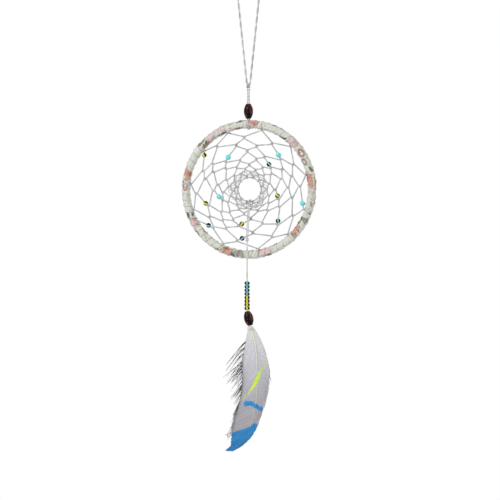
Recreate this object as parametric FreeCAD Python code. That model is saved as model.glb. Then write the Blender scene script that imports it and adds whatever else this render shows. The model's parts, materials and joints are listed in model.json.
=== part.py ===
import FreeCAD, Part
import math
import os

# Dream catcher: a cloth-bound hoop with a knotted thread net, beads and one feather, hung from a
# loop of cord. Millimetres, +Z up. The origin is the inside of the loop at its top, where a peg
# carries it. +X is to the right seen from the front, and the front faces -Y.

Vector = FreeCAD.Vector
X_AXIS = Vector(1, 0, 0)
Y_AXIS = Vector(0, 1, 0)
Z_AXIS = Vector(0, 0, 1)

# Hanging loop: one cord doubled over a peg and knotted
CORD_RADIUS = 0.6
LOOP_CORD_RADIUS = 0.8      # the loop is a thicker cord than the strands under its knot
PEG_BEND = 9.3              # centre line of the cord over a 17 mm peg
LOOP_ROUTE = [(-1.4, 0, -82.3), (-9.86, 0, -3.69), (0, 0, 2.47), (9.86, 0, -3.69), (1.4, 0, -82.3)]
KNOT_TOP = -82.3
KNOT_HEIGHT = 4.0
KNOT_RADIUS = 2.2
KNOT_END_RADIUS = 2.15
STRAND_OFFSET = 0.65        # each of the two strands under the knot, from the middle

# Hoop: a steel ring bound with a strip of printed cotton
HOOP_CENTRE = Vector(0, 0, -166.7)
RING_RADIUS = 51.5
CORE_RADIUS = 2.0
WRAP_RADIUS = 3.5
WRAP_GAP = 0.02
HITCH_THREAD = 0.45
HITCH_GAP = 0.1
HITCH_OFFSET = 0.5

# Beads
OVAL_LENGTH = 11.7
OVAL_RADIUS = 3.65
OVAL_END = 1.95
OVAL_BORE = 1.5
TOP_BEAD_LIFT = 0.1         # space between the bead and the hitch under it
GLASS_RADIUS = 2.0
TURQUOISE_RADIUS = 2.2
NET_BORE = 0.7
SEED_HEIGHT = 2.75
SEED_PITCH = 2.85
SEED_RADIUS = 2.05
SEED_END = 1.6
SEED_BORE = 0.9

# Net: one thread hitched round the hoop, then round after round on the strands before
THREAD_RADIUS = 0.45
RIM_LOOP_GAP = 0.05
ANCHOR_ANGLES = [238.6, 205.9, 170.6, 137.4, 109.2, 76.8, 45.5, 13.0, 339.7, 310.2, 275.5, 251.1]
# Knots of the outer five rounds: clockwise angle from the top, and distance from the hoop's centre
OUTER_ROUNDS = [
    [(224, 42.1), (193, 41.9), (153, 42.5), (120, 42.0), (87, 42.0), (62, 41.5),
     (28, 41.1), (355, 41.6), (323, 43.6), (292, 40.5), (266, 43.5), (236, 38.9)],
    [(211, 36.1), (174, 35.0), (140, 37.2), (101, 36.3), (74, 37.0), (48, 35.6),
     (11, 35.1), (344, 36.9), (305, 36.5), (284, 37.1), (249, 35.7), (221, 32.6)],
    [(196, 30.1), (157, 29.4), (119, 28.8), (88, 32.5), (60, 32.1), (27, 29.0),
     (358, 30.9), (320, 29.3), (296, 32.8), (269, 29.2), (232, 28.6), (208, 27.4)],
    [(175, 23.6), (137, 23.0), (108, 26.0), (73, 28.6), (47, 25.0), (15, 25.0),
     (343, 24.2), (312, 25.5), (279, 26.0), (248, 23.0), (221, 23.9), (191, 19.9)],
    [(156, 18.8), (123, 19.7), (91, 21.9), (57, 22.5), (34, 20.9), (2, 19.8),
     (331, 20.1), (293, 20.0), (264, 21.4), (240, 19.7), (207, 17.6), (174, 15.9)],
]
EYE_CENTRE = Vector(0.9, 0, -166.8)
EYE_RADIUS = 9.6
EYE_THICKNESS = 0.8
# Knots of the next two rounds, the same way but about the eye's centre, then of the last round, by
# angle alone, because they lie against the ring of the eye
INNER_ROUNDS = [
    [(140, 16.4), (107, 16.7), (74, 17.0), (46, 16.4), (18, 16.1), (347, 16.6),
     (312, 16.9), (279, 17.2), (252, 16.6), (222, 16.0), (193, 15.3), (160, 14.5)],
    [(124, 13.6), (91, 13.9), (60, 14.2), (32, 13.8), (3, 13.5), (330, 14.0),
     (296, 14.3), (266, 13.9), (238, 13.6), (208, 13.5), (180, 13.1), (143, 12.7)],
]
LAST_ROUND = [107, 76, 46, 17, 347, 313, 281, 252, 223, 194, 165, 126]

# Beads of the net: name, radius, strand as its two knots, and place along it
NET_BEADS = [
    ("yellow_bead_rim", GLASS_RADIUS, 9, 21, 0.19),
    ("yellow_bead_left", GLASS_RADIUS, 22, 34, 0.80),
    ("yellow_bead_right", GLASS_RADIUS, 50, 62, 0.36),
    ("yellow_bead_low", GLASS_RADIUS, 36, 48, 0.27),
    ("teal_bead_high", GLASS_RADIUS, 52, 41, 0.30),
    ("teal_bead_right", GLASS_RADIUS, 26, 38, 0.23),
    ("teal_bead_left", GLASS_RADIUS, 0, 12, 0.67),
    ("teal_bead_low", GLASS_RADIUS, 13, 25, 0.32),
    ("turquoise_bead_high_left", TURQUOISE_RADIUS, 31, 43, 0.75),
    ("turquoise_bead_high_right", TURQUOISE_RADIUS, 29, 18, 0.26),
    ("turquoise_bead_left", TURQUOISE_RADIUS, 45, 57, 0.64),
    ("turquoise_bead_rim", TURQUOISE_RADIUS, 4, 16, 0.24),
]

# Pendant: a doubled cord over the eye, knotted, hanging in front of the hoop
PENDANT_X = 0.0
PENDANT_Y = -4.3
TIE_THREAD = 0.45
TIE_GAP = 0.15
TIE_OFFSET = 0.55
PENDANT_STRAND = 0.5        # radius of each of the two strands
PENDANT_KNOT_TOP = -205.6
PENDANT_KNOT_HEIGHT = 2.6
PENDANT_KNOT_RADIUS = 1.3
PENDANT_KNOT_END = 1.15
KNOT_REACH = 0.5            # the strands run this far into the knot before they are trimmed to it
RIM_PIVOT_Z = -218.2
RIM_BEND_ABOVE = 0.45       # the cord's ends stop short of the place where it bends
RIM_BEND_BELOW = 0.25
TWIST_PIVOT_Z = -239.0
STACK_TOP = -239.7
STACK_BEADS = 8
SWING_PIVOT_Z = -262.9
SWING_BEND = 0.3            # clear space for the bend between the stack and the bead under it
PENDANT_BEAD_LENGTH = 11.2
PENDANT_BEAD_DROP = 0.75    # from the swing pivot to the bead, along the bead
PENDANT_BEAD_TILT = 12.2
FEATHER_GAP = 0.7

# Feather: height, then left edge, rachis and right edge across it
FEATHER_STATIONS = [
    (-279.4, 0.1, 3.9, 6.6),
    (-282.3, -0.4, 4.9, 8.6),
    (-294.8, -3.4, 7.4, 14.7),
    (-303.5, -4.9, 8.0, 17.1),
    (-315.7, -5.0, 8.4, 18.6),
    (-325.7, -5.4, 8.1, 17.5),
    (-337.1, -7.4, 7.0, 14.7),
    (-347.4, -10.9, 4.8, 11.0),
    (-357.7, -13.6, 1.2, 6.9),
    (-365.7, -13.8, -3.4, 1.0),
    (-370.8, -14.6, -8.0, -5.0),
    (-374.3, -18.9, -12.0, -11.2),
]
QUILL_TOP = (2.5, -275.2)
QUILL_RADIUS = 0.9
RACHIS_TIP_RADIUS = 0.32
VANE_THICKNESS = 0.5
QUILL_TIE_RADIUS = 1.35
QUILL_TIE_HEIGHT = 2.2
QUILL_TIE_TOP = -276.6
BARB_COUNT = 15
BARB_TOP = -289.0
BARB_BOTTOM = -361.0
BARB_LONGEST = 12.0
BARB_SHORTEST = 3.0
BARB_RADIUS = 0.2
BARB_DROOP = 35.0


def cylinder(start, end, radius):
    """A round bar from one point to another."""
    along = end - start
    return Part.makeCylinder(radius, along.Length, start, along)


def bend_path(route, bends):
    """Straight runs joined by tangent arcs: a wire and its length."""
    points = [Vector(*point) for point in route]
    edges = []
    length = 0.0
    here = points[0]
    for corner, before, after, bend in zip(points[1:-1], points[:-2], points[2:], bends):
        inward = (before - corner).normalize()
        outward = (after - corner).normalize()
        half_turn = (math.pi - inward.getAngle(outward)) / 2
        reach = bend * math.tan(half_turn)
        arc_start = corner + inward * reach
        arc_end = corner + outward * reach
        middle_way = (inward + outward).normalize()
        arc_middle = corner + middle_way * (bend / math.cos(half_turn) - bend)
        edges.append(Part.LineSegment(here, arc_start).toShape())
        edges.append(Part.Arc(arc_start, arc_middle, arc_end).toShape())
        length += (arc_start - here).Length + 2 * half_turn * bend
        here = arc_end
    edges.append(Part.LineSegment(here, points[-1]).toShape())
    length += (points[-1] - here).Length
    return Part.Wire(edges), length


def cord_tube(name, route, bends, radius):
    """A cord's tube along its route, with its volume checked against section times length."""
    path, length = bend_path(route, bends)
    start = Vector(*route[0])
    direction = Vector(*route[1]) - start
    section = Part.Wire([Part.makeCircle(radius, start, direction)])
    tube = path.makePipeShell([section], True, False)
    expected = math.pi * radius ** 2 * length
    print(name, "bends", bends, "length", round(length, 2), "volume ratio", round(tube.Volume / expected, 4))
    return tube


def barrel(height, middle_radius, end_radius, bore):
    """A round bead about +Z, centred on the origin, with a bulging side and a bore."""
    half = height / 2
    low_out = Vector(end_radius, 0, -half)
    high_out = Vector(end_radius, 0, half)
    low_in = Vector(bore, 0, -half)
    high_in = Vector(bore, 0, half)
    edges = [
        Part.LineSegment(low_in, low_out).toShape(),
        Part.Arc(low_out, Vector(middle_radius, 0, 0), high_out).toShape(),
        Part.LineSegment(high_out, high_in).toShape(),
        Part.LineSegment(high_in, low_in).toShape(),
    ]
    return Part.Face(Part.Wire(edges)).revolve(Vector(0, 0, 0), Z_AXIS, 360)


def placed(shape, centre, direction):
    """The shape with its +Z axis turned along a direction and its origin moved to a point."""
    copy = shape.copy()
    copy.Placement = FreeCAD.Placement(centre, FreeCAD.Rotation(Z_AXIS, direction))
    return copy


def around(centre, angle, radius):
    """A point in the hoop's plane, at a clockwise angle from the top about a centre."""
    turn = math.radians(angle)
    return centre + Vector(radius * math.sin(turn), 0, radius * math.cos(turn))


def net_knots():
    """Every knot of the net in tying order: the hoop's anchors, then each hitch on the strands."""
    start_radius = RING_RADIUS - WRAP_RADIUS - RIM_LOOP_GAP - THREAD_RADIUS
    last_radius = EYE_RADIUS + EYE_THICKNESS + THREAD_RADIUS
    knots = [around(HOOP_CENTRE, angle, start_radius) for angle in ANCHOR_ANGLES]
    for outer_round in OUTER_ROUNDS:
        knots += [around(HOOP_CENTRE, angle, radius) for angle, radius in outer_round]
    for inner_round in INNER_ROUNDS:
        knots += [around(EYE_CENTRE, angle, radius) for angle, radius in inner_round]
    return knots + [around(EYE_CENTRE, angle, last_radius) for angle in LAST_ROUND]


def net_strands(knots):
    """The strands between knots: each strand of a round is pulled to a V by the next round."""
    anchors = len(ANCHOR_ANGLES)
    last = len(knots) - anchors
    strands = []
    for number in range(last):
        strands.append(cylinder(knots[number], knots[number + anchors], THREAD_RADIUS))
        if number + 1 < last:
            strands.append(cylinder(knots[number + anchors], knots[number + 1], THREAD_RADIUS))
    return strands


def tube_ring(angle, thread, gap):
    """A loop of thread round the bound tube of the hoop."""
    centre = around(HOOP_CENTRE, angle, RING_RADIUS)
    turn = math.radians(angle)
    along_tube = Vector(math.cos(turn), 0, -math.sin(turn))
    return Part.makeTorus(WRAP_RADIUS + gap + thread, thread, centre, along_tube)


def hoop_parts():
    """The steel ring inside and the cloth binding around it."""
    core = Part.makeTorus(RING_RADIUS, CORE_RADIUS, HOOP_CENTRE, Y_AXIS)
    outside = Part.makeTorus(RING_RADIUS, WRAP_RADIUS, HOOP_CENTRE, Y_AXIS)
    inside = Part.makeTorus(RING_RADIUS, CORE_RADIUS + WRAP_GAP, HOOP_CENTRE, Y_AXIS)
    return {"hoop_core": core, "hoop_wrap": outside.cut(inside)}


def net_parts():
    """The net's strands, its loops round the hoop and the thicker ring round the eye."""
    strands = net_strands(net_knots())
    outer_strands = strands[:2 * len(ANCHOR_ANGLES)]
    loops = [tube_ring(angle, THREAD_RADIUS, RIM_LOOP_GAP).cut(outer_strands) for angle in ANCHOR_ANGLES]
    eye = Part.makeTorus(EYE_RADIUS, EYE_THICKNESS, EYE_CENTRE, Y_AXIS)
    return {
        "web_thread": Part.makeCompound(strands),
        "web_rim_loops": Part.makeCompound(loops),
        "web_eye_ring": eye,
    }


def net_bead(radius, centre, direction):
    """A round bead bored for the thread that it turns on."""
    ball = Part.makeSphere(radius)
    bore = Part.makeCylinder(NET_BORE, 2 * radius + 2, Vector(0, 0, -radius - 1), Z_AXIS)
    return placed(ball.cut(bore), centre, direction)


def net_bead_parts():
    """The beads threaded on single strands of the net."""
    knots = net_knots()
    beads = {}
    for name, radius, first, second, along in NET_BEADS:
        strand = knots[second] - knots[first]
        centre = knots[first] + strand * along
        beads[name] = net_bead(radius, centre, strand)
        axis = strand.normalize()
        print(name, "centre", centre, "axis", axis)
    return beads


def hanger_parts():
    """The hanging loop, its knot, and the two strands that go down to the hoop and round it."""
    knot = barrel(KNOT_HEIGHT, KNOT_RADIUS, KNOT_END_RADIUS, 0)
    knot.translate(Vector(0, 0, KNOT_TOP - KNOT_HEIGHT / 2))
    bends = [PEG_BEND] * (len(LOOP_ROUTE) - 2)
    loop = cord_tube("hanging_loop", LOOP_ROUTE, bends, LOOP_CORD_RADIUS).cut(knot)
    hitches = []
    strands = []
    tube_centre = HOOP_CENTRE + Vector(0, 0, RING_RADIUS)
    hitch_radius = WRAP_RADIUS + HITCH_GAP + HITCH_THREAD
    strand_top = KNOT_TOP - KNOT_HEIGHT
    for side in (-1, 1):
        hitch_centre = tube_centre + Vector(side * HITCH_OFFSET, 0, 0)
        hitch = Part.makeTorus(hitch_radius, HITCH_THREAD, hitch_centre, X_AXIS)
        top = Vector(side * STRAND_OFFSET, 0, strand_top)
        bottom = Vector(side * STRAND_OFFSET, 0, tube_centre.z + hitch_radius)
        strands.append(cylinder(top, bottom, CORD_RADIUS).cut(hitch))
        hitches.append(hitch)
    return {
        "hanging_loop": loop,
        "loop_knot": knot,
        "hanger_strands": Part.makeCompound(strands),
        "hoop_hitch": Part.makeCompound(hitches),
    }


def top_bead_part():
    """The oval wooden bead that sits on the hoop."""
    hitch_top = HOOP_CENTRE.z + RING_RADIUS + WRAP_RADIUS + HITCH_GAP + 2 * HITCH_THREAD
    bead = barrel(OVAL_LENGTH, OVAL_RADIUS, OVAL_END, OVAL_BORE)
    bead.translate(Vector(0, 0, hitch_top + TOP_BEAD_LIFT + OVAL_LENGTH / 2))
    return {"top_bead": bead}


def pendant_cord_parts():
    """The cord of the pendant: hitched on the eye, doubled to a knot, then single to the beads."""
    eye_bottom = EYE_CENTRE - Vector(0, 0, EYE_RADIUS)
    tie_radius = EYE_THICKNESS + TIE_GAP + TIE_THREAD
    knot_bottom = PENDANT_KNOT_TOP - PENDANT_KNOT_HEIGHT
    knot = barrel(PENDANT_KNOT_HEIGHT, PENDANT_KNOT_RADIUS, PENDANT_KNOT_END, 0)
    knot.translate(Vector(PENDANT_X, PENDANT_Y, knot_bottom + PENDANT_KNOT_HEIGHT / 2))
    ties = []
    strands = []
    for side in (-1, 1):
        tie_centre = eye_bottom + Vector(side * TIE_OFFSET, 0, 0)
        tie = Part.makeTorus(tie_radius, TIE_THREAD, tie_centre, X_AXIS)
        start = tie_centre - Vector(0, tie_radius, 0)
        end = Vector(PENDANT_X + side * TIE_OFFSET, PENDANT_Y, PENDANT_KNOT_TOP - KNOT_REACH)
        strands.append(cylinder(start, end, PENDANT_STRAND).cut(tie).cut(knot))
        ties.append(tie)
    stretches = [
        ("pendant_cord_rim", knot_bottom, RIM_PIVOT_Z + RIM_BEND_ABOVE),
        ("pendant_cord_lower", RIM_PIVOT_Z - RIM_BEND_BELOW, TWIST_PIVOT_Z),
        ("stack_cord", TWIST_PIVOT_Z, SWING_PIVOT_Z + SWING_BEND),
    ]
    singles = {}
    for name, high, low in stretches:
        top = Vector(PENDANT_X, PENDANT_Y, high)
        singles[name] = cylinder(top, Vector(PENDANT_X, PENDANT_Y, low), CORD_RADIUS)
    return {
        "pendant_tie": Part.makeCompound(ties),
        "pendant_cord_upper": Part.makeCompound(strands),
        "pendant_knot": knot,
        **singles,
    }


def seed_bead_parts():
    """The stack of small glass beads, numbered from the top."""
    beads = {}
    for number in range(STACK_BEADS):
        bead = barrel(SEED_HEIGHT, SEED_RADIUS, SEED_END, SEED_BORE)
        height = STACK_TOP - SEED_HEIGHT / 2 - number * SEED_PITCH
        bead.translate(Vector(PENDANT_X, PENDANT_Y, height))
        beads[f"seed_bead_{number + 1}"] = bead
    return beads


def pendant_bead_parts():
    """The oval wooden bead over the feather, tilted, and the cord inside it."""
    tilt = math.radians(PENDANT_BEAD_TILT)
    upward = Vector(-math.sin(tilt), 0, math.cos(tilt))
    pivot = Vector(PENDANT_X, PENDANT_Y, SWING_PIVOT_Z)
    centre = pivot - upward * (PENDANT_BEAD_DROP + PENDANT_BEAD_LENGTH / 2)
    bead = barrel(PENDANT_BEAD_LENGTH, OVAL_RADIUS, OVAL_END, OVAL_BORE)
    bead_foot = centre - upward * (PENDANT_BEAD_LENGTH / 2)
    print("rock pivot", bead_foot - upward * (FEATHER_GAP / 2))
    cord = cylinder(pivot - upward * SWING_BEND, bead_foot, CORD_RADIUS)
    return {"pendant_bead": placed(bead, centre, upward), "pendant_bead_cord": cord}


def smooth_edge(points):
    """One smooth edge through points given across and up, in the feather's plane."""
    curve = Part.BSplineCurve()
    curve.interpolate([Vector(across, PENDANT_Y, up) for across, up in points])
    return curve.toShape()


def vane(edge_points, rachis_points):
    """One side of the feather: a thin closed plate between its edge and the rachis."""
    half_thickness = Vector(0, VANE_THICKNESS / 2, 0)
    edge = smooth_edge(edge_points)
    rachis = smooth_edge(rachis_points)
    top = Part.LineSegment(edge.Vertexes[0].Point, rachis.Vertexes[0].Point).toShape()
    bottom = Part.LineSegment(rachis.Vertexes[-1].Point, edge.Vertexes[-1].Point).toShape()
    outline = Part.Wire(Part.__sortEdges__([edge, bottom, rachis, top]))
    plate = Part.Face(outline).extrude(half_thickness * 2)
    plate.translate(-half_thickness)
    return plate


def quill_part(rachis_points):
    """The quill and rachis: round sections that taper towards the tip."""
    last = len(rachis_points) - 1
    rings = []
    for number, (across, up) in enumerate(rachis_points):
        radius = QUILL_RADIUS + (RACHIS_TIP_RADIUS - QUILL_RADIUS) * (number / last) ** 0.6
        circle = Part.makeCircle(radius, Vector(across, PENDANT_Y, up), Z_AXIS)
        rings.append(Part.Wire([circle]))
    return Part.makeLoft(rings, True, False)


def between(stations, height, column):
    """A feather line's place across, at a height between two stations."""
    for above, below in zip(stations[:-1], stations[1:]):
        if above[0] >= height >= below[0]:
            part = (above[0] - height) / (above[0] - below[0])
            return above[column] + (below[column] - above[column]) * part
    return stations[-1][column]


def loose_barbs():
    """Loose barbs that stand out of the feather's left edge, longest near the top."""
    droop = math.radians(BARB_DROOP)
    away = Vector(-math.cos(droop), 0, -math.sin(droop))
    barbs = []
    for number in range(BARB_COUNT):
        part = number / (BARB_COUNT - 1)
        height = BARB_TOP + (BARB_BOTTOM - BARB_TOP) * part
        length = BARB_SHORTEST + (BARB_LONGEST - BARB_SHORTEST) * math.sin(math.pi * (1 - part) ** 0.8)
        start = Vector(between(FEATHER_STATIONS, height, 1) - 2 * BARB_RADIUS, PENDANT_Y, height)
        barbs.append(cylinder(start, start + away * length, BARB_RADIUS))
    return barbs


def feather_parts():
    """The feather: quill, binding thread, two vanes and the loose barbs."""
    left_points = [(left, height) for height, left, middle, right in FEATHER_STATIONS]
    right_points = [(right, height) for height, left, middle, right in FEATHER_STATIONS]
    rachis_points = [(middle, height) for height, left, middle, right in FEATHER_STATIONS]
    quill = quill_part([QUILL_TOP] + rachis_points)
    tie_top = Vector(QUILL_TOP[0], PENDANT_Y, QUILL_TIE_TOP)
    slope = Vector(rachis_points[1][0] - QUILL_TOP[0], 0, rachis_points[1][1] - QUILL_TOP[1]).normalize()
    tie_top.x += (QUILL_TIE_TOP - QUILL_TOP[1]) * slope.x / slope.z
    tie = cylinder(tie_top, tie_top + slope * QUILL_TIE_HEIGHT, QUILL_TIE_RADIUS).cut(quill)
    return {
        "feather_quill": quill,
        "quill_tie": tie,
        "feather_vane_left": vane(left_points, rachis_points).cut(quill),
        "feather_vane_right": vane(right_points, rachis_points).cut(quill),
        "feather_barbs": Part.makeCompound(loose_barbs()),
    }


def main():
    parts = {}
    for group in (hoop_parts, net_parts, net_bead_parts, hanger_parts, top_bead_part,
                  pendant_cord_parts, seed_bead_parts, pendant_bead_parts, feather_parts):
        parts.update(group())
    os.makedirs("parts", exist_ok=True)
    for name, shape in parts.items():
        shape.exportStep(f"parts/{name}.step")
        print(name, "solids", len(shape.Solids), "volume", round(shape.Volume, 2), "valid", shape.isValid())


main()
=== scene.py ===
import json
import math

import bpy
import numpy as np
from mathutils import Matrix, Vector


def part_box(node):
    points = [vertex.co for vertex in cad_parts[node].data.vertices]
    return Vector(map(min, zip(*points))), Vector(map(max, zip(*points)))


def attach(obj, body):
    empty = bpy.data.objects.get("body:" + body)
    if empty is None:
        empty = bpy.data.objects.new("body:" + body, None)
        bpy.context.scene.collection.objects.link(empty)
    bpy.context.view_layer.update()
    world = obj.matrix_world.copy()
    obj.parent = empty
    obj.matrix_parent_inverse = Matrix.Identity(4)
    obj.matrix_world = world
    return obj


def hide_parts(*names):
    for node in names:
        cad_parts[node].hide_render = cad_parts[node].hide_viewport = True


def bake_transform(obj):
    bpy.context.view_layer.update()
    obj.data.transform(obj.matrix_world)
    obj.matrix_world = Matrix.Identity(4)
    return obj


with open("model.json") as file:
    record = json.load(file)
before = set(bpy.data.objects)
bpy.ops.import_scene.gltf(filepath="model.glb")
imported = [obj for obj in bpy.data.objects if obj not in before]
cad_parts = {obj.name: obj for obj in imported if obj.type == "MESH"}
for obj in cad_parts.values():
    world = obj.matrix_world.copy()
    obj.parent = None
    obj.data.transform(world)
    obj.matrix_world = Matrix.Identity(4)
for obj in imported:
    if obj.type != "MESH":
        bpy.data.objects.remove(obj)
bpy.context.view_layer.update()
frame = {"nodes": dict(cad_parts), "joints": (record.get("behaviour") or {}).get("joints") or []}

# A dream catcher: cloth-bound hoop, thread net with glass beads, and a pendant with one painted
# feather, hung from a loop of cord. Lengths are in metres; MM turns millimetres into them.
MM = 0.001
FULL_TURN = 2 * math.pi
FRONT = np.array([0.0, -1.0, 0.0])

# Camera: level with the middle of the object, to the right of its front. Then lamps and floor
VIEW_TURN = math.radians(15)
VIEW_DISTANCE = 1.5
VIEW_HEIGHT = -0.21485
VIEW_SIDESTEP = 0.00119
VIEW_LENS = 136.05
LAMP_TARGET = (0, 0, -0.2)
FLOOR_PROFILE = [(1.5, -1.23), (1.5, -1.205), (1.49, -1.2), (0.8, -1.2), (0.2, -1.2)]
FLOOR_SIDES = 96

# The glass beads are turned so that one of their bands lies this far round from the front, toward
# the camera: each band is a painted glow through the glass
BAND_TURN = math.radians(15)

# Cords. A lay is a cord's radius, its plies, the pitch of their twist, and the sides of each ply
PLY_SHARE = {2: 0.5, 3: 0.464}     # a ply's radius as a share of its cord's, by how many there are
PLY_PRESS = 1.04                   # plies press into each other by this much
CORD_RADIUS = 0.6 * MM
LOOP_CORD_RADIUS = 0.8 * MM
LOOP_ROUTE = [
    (-0.0014, 0, -0.0823), (-0.00857, 0, -0.01562), (-0.00986, 0, -0.00369), (0, 0, 0.00247),
    (0.00986, 0, -0.00369), (0.00857, 0, -0.01562), (0.0014, 0, -0.0823),
]
LOOP_LAY = (LOOP_CORD_RADIUS * 1.12, 2, 15 * MM, 10)
STRAND_OFFSET = 0.65 * MM
STRAND_LAY = (CORD_RADIUS * 1.1, 2, 5 * MM, 8)
HITCH_THREAD = 0.45 * MM
PENDANT_Y = -0.0043
PENDANT_ROUTE = [(0, PENDANT_Y, -0.2082), (0, PENDANT_Y, -0.2154), (0, PENDANT_Y, -0.239)]
PENDANT_LAY = (CORD_RADIUS, 3, 3.2 * MM, 7)
EYE_STRAND_RADIUS = 0.5 * MM
EYE_STRAND_LAY = (EYE_STRAND_RADIUS, 3, 2.8 * MM, 6)

# Hoop and its cloth
HOOP_CENTRE = np.array([0.0, 0.0, -166.7]) * MM
RING_RADIUS = 51.5 * MM
WRAP_RADIUS = 3.5 * MM
CLOTH_WIDTH = 11.5 * MM
CLOTH_TURNS = 60
CLOTH_THICKNESS = 0.25 * MM
CLOTH_STEPS = 30               # points to a turn
CLOTH_COLUMNS = 21             # points across the strip
CLOTH_WANDER = 0.55 * MM       # how far the turns stray along the hoop
CLOTH_SWELL = (0.04, 0.15)     # how loose the turns are: mean and spread in millimetres
CLOTH_LAP = 0.95 * MM          # twice how far the strip dips under the turn that laps it
CLOTH_SHIFT = 0.25 * MM        # how much further the binding stands on the hoop's outer side
CLOTH_FOLD = 0.10              # in millimetres: the strip's soft folds, its creases, how far its
CLOTH_CREASE = 0.08            # edge dips, and how far it stands up beside the edge
CLOTH_DIP = 0.16
CLOTH_LIP = 0.16
WEAVE_PER_TURN = 22.0

# Net
THREAD_RADIUS = 0.45 * MM
THREAD_LAY = (THREAD_RADIUS * 1.35, 3, 3.0 * MM, 4)
THREAD_STEP = 0.45 * MM
KNOT_LEAD = 1.1 * MM           # a strand runs straight from this far beside its knots
RIM_LOOP_GAP = 0.05 * MM
RIM_LOOP_SINK = 0.2 * MM
HITCH_NUMBERS = (12, 108)      # the hitches get smaller from the first of these knots to the last
HITCH_SIZES = (1.15, 0.75)
ANCHOR_ANGLES = [238.6, 205.9, 170.6, 137.4, 109.2, 76.8, 45.5, 13.0, 339.7, 310.2, 275.5, 251.1]
# Knots of the outer five rounds: clockwise angle from the top, and millimetres from the centre
OUTER_ROUNDS = [
    [(224, 42.1), (193, 41.9), (153, 42.5), (120, 42.0), (87, 42.0), (62, 41.5),
     (28, 41.1), (355, 41.6), (323, 43.6), (292, 40.5), (266, 43.5), (236, 38.9)],
    [(211, 36.1), (174, 35.0), (140, 37.2), (101, 36.3), (74, 37.0), (48, 35.6),
     (11, 35.1), (344, 36.9), (305, 36.5), (284, 37.1), (249, 35.7), (221, 32.6)],
    [(196, 30.1), (157, 29.4), (119, 28.8), (88, 32.5), (60, 32.1), (27, 29.0),
     (358, 30.9), (320, 29.3), (296, 32.8), (269, 29.2), (232, 28.6), (208, 27.4)],
    [(175, 23.6), (137, 23.0), (108, 26.0), (73, 28.6), (47, 25.0), (15, 25.0),
     (343, 24.2), (312, 25.5), (279, 26.0), (248, 23.0), (221, 23.9), (191, 19.9)],
    [(156, 18.8), (123, 19.7), (91, 21.9), (57, 22.5), (34, 20.9), (2, 19.8),
     (331, 20.1), (293, 20.0), (264, 21.4), (240, 19.7), (207, 17.6), (174, 15.9)],
]
EYE_CENTRE = np.array([0.9, 0.0, -166.8]) * MM
EYE_RADIUS = 9.6 * MM
EYE_THICKNESS = 0.8 * MM
EYE_LAY = (EYE_THICKNESS * 0.8, 3, 5.2 * MM, 7)
EYE_PLY_RADIUS = 0.24 * MM
EYE_HITCH_REACH = 0.65 * MM    # the last hitches sink between the turns of the eye's ring
CHAIN_LOOPS = 34
CHAIN_SPAN = (189, 531)        # clockwise angles at which the loops round the eye start and end
CHAIN_POINTS = 1700
CHAIN_LAY = (0.28 * MM, 2, 2.4 * MM, 4)
# Where the loops round the eye reach further out: clockwise angle, reach in millimetres, spread
CHAIN_BULGES = [(268, 3.4, 22), (338, 1.4, 16), (205, 1.8, 16), (450, 0.8, 20), (520, 1.2, 14)]
# Knots of the next two rounds, the same way but about the eye's centre, then of the last round, by
# angle alone, because they lie against the ring of the eye
INNER_ROUNDS = [
    [(140, 16.4), (107, 16.7), (74, 17.0), (46, 16.4), (18, 16.1), (347, 16.6),
     (312, 16.9), (279, 17.2), (252, 16.6), (222, 16.0), (193, 15.3), (160, 14.5)],
    [(124, 13.6), (91, 13.9), (60, 14.2), (32, 13.8), (3, 13.5), (330, 14.0),
     (296, 14.3), (266, 13.9), (238, 13.6), (208, 13.5), (180, 13.1), (143, 12.7)],
]
LAST_ROUND = [107, 76, 46, 17, 347, 313, 281, 252, 223, 194, 165, 126]

# Beads
BEAD_SIDES = 32
BEAD_WOBBLE = 0.03
PENDANT_BEAD_RISE = 0.175 * MM
# Glass: dark, body and light colours, lean of the bands, half width of their light and in all. The
# light is a painted glow through the glass and the dark a painted shade at the bead's sides
GLASSES = {
    "yellow_glass": ((16, 14, 0), (106, 99, 6), (226, 221, 100), 0.5, 0.03, 0.33),
    "teal_glass": ((3, 10, 12), (12, 58, 60), (160, 218, 218), 0.25, 0.035, 0.21),
    "lagoon_glass": ((0, 12, 15), (8, 62, 66), (112, 188, 182), 0.0, 0.09, 0.29),
    "olive_glass": ((14, 12, 0), (80, 75, 2), (214, 213, 68), 0.0, 0.09, 0.29),
}


# ---------------------------------------------------------------- colours and materials

def linear(colour):
    """Scene-linear colour from screen values of 0 to 255."""
    share = np.asarray(colour, float) / 255
    return np.where(share <= 0.04045, share / 12.92, ((share + 0.055) / 1.055) ** 2.4)


def fade(value, start, end):
    """A share that goes from 0 where the value is at the start to 1 at the end."""
    return np.clip((value - start) / (end - start), 0, 1)


def bell(value, middle, spread):
    """A smooth bump, 1 high at its middle."""
    return np.exp(-((value - middle) / spread) ** 2)


def paint(*colour):
    """A shader colour from screen values of 0 to 255."""
    return (*linear(colour).tolist(), 1.0)


def laid_over(colour, ink, share):
    """Colours with an ink laid over them, by a share at each place."""
    return colour + (np.asarray(ink, float) - colour) * share[..., None]


def graded(at, stops, colours):
    """Colours at places along a line, between the colours at its stops."""
    table = np.array(colours, float)
    return np.stack([np.interp(at, stops, table[:, channel]) for channel in range(3)], axis=-1)


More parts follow.
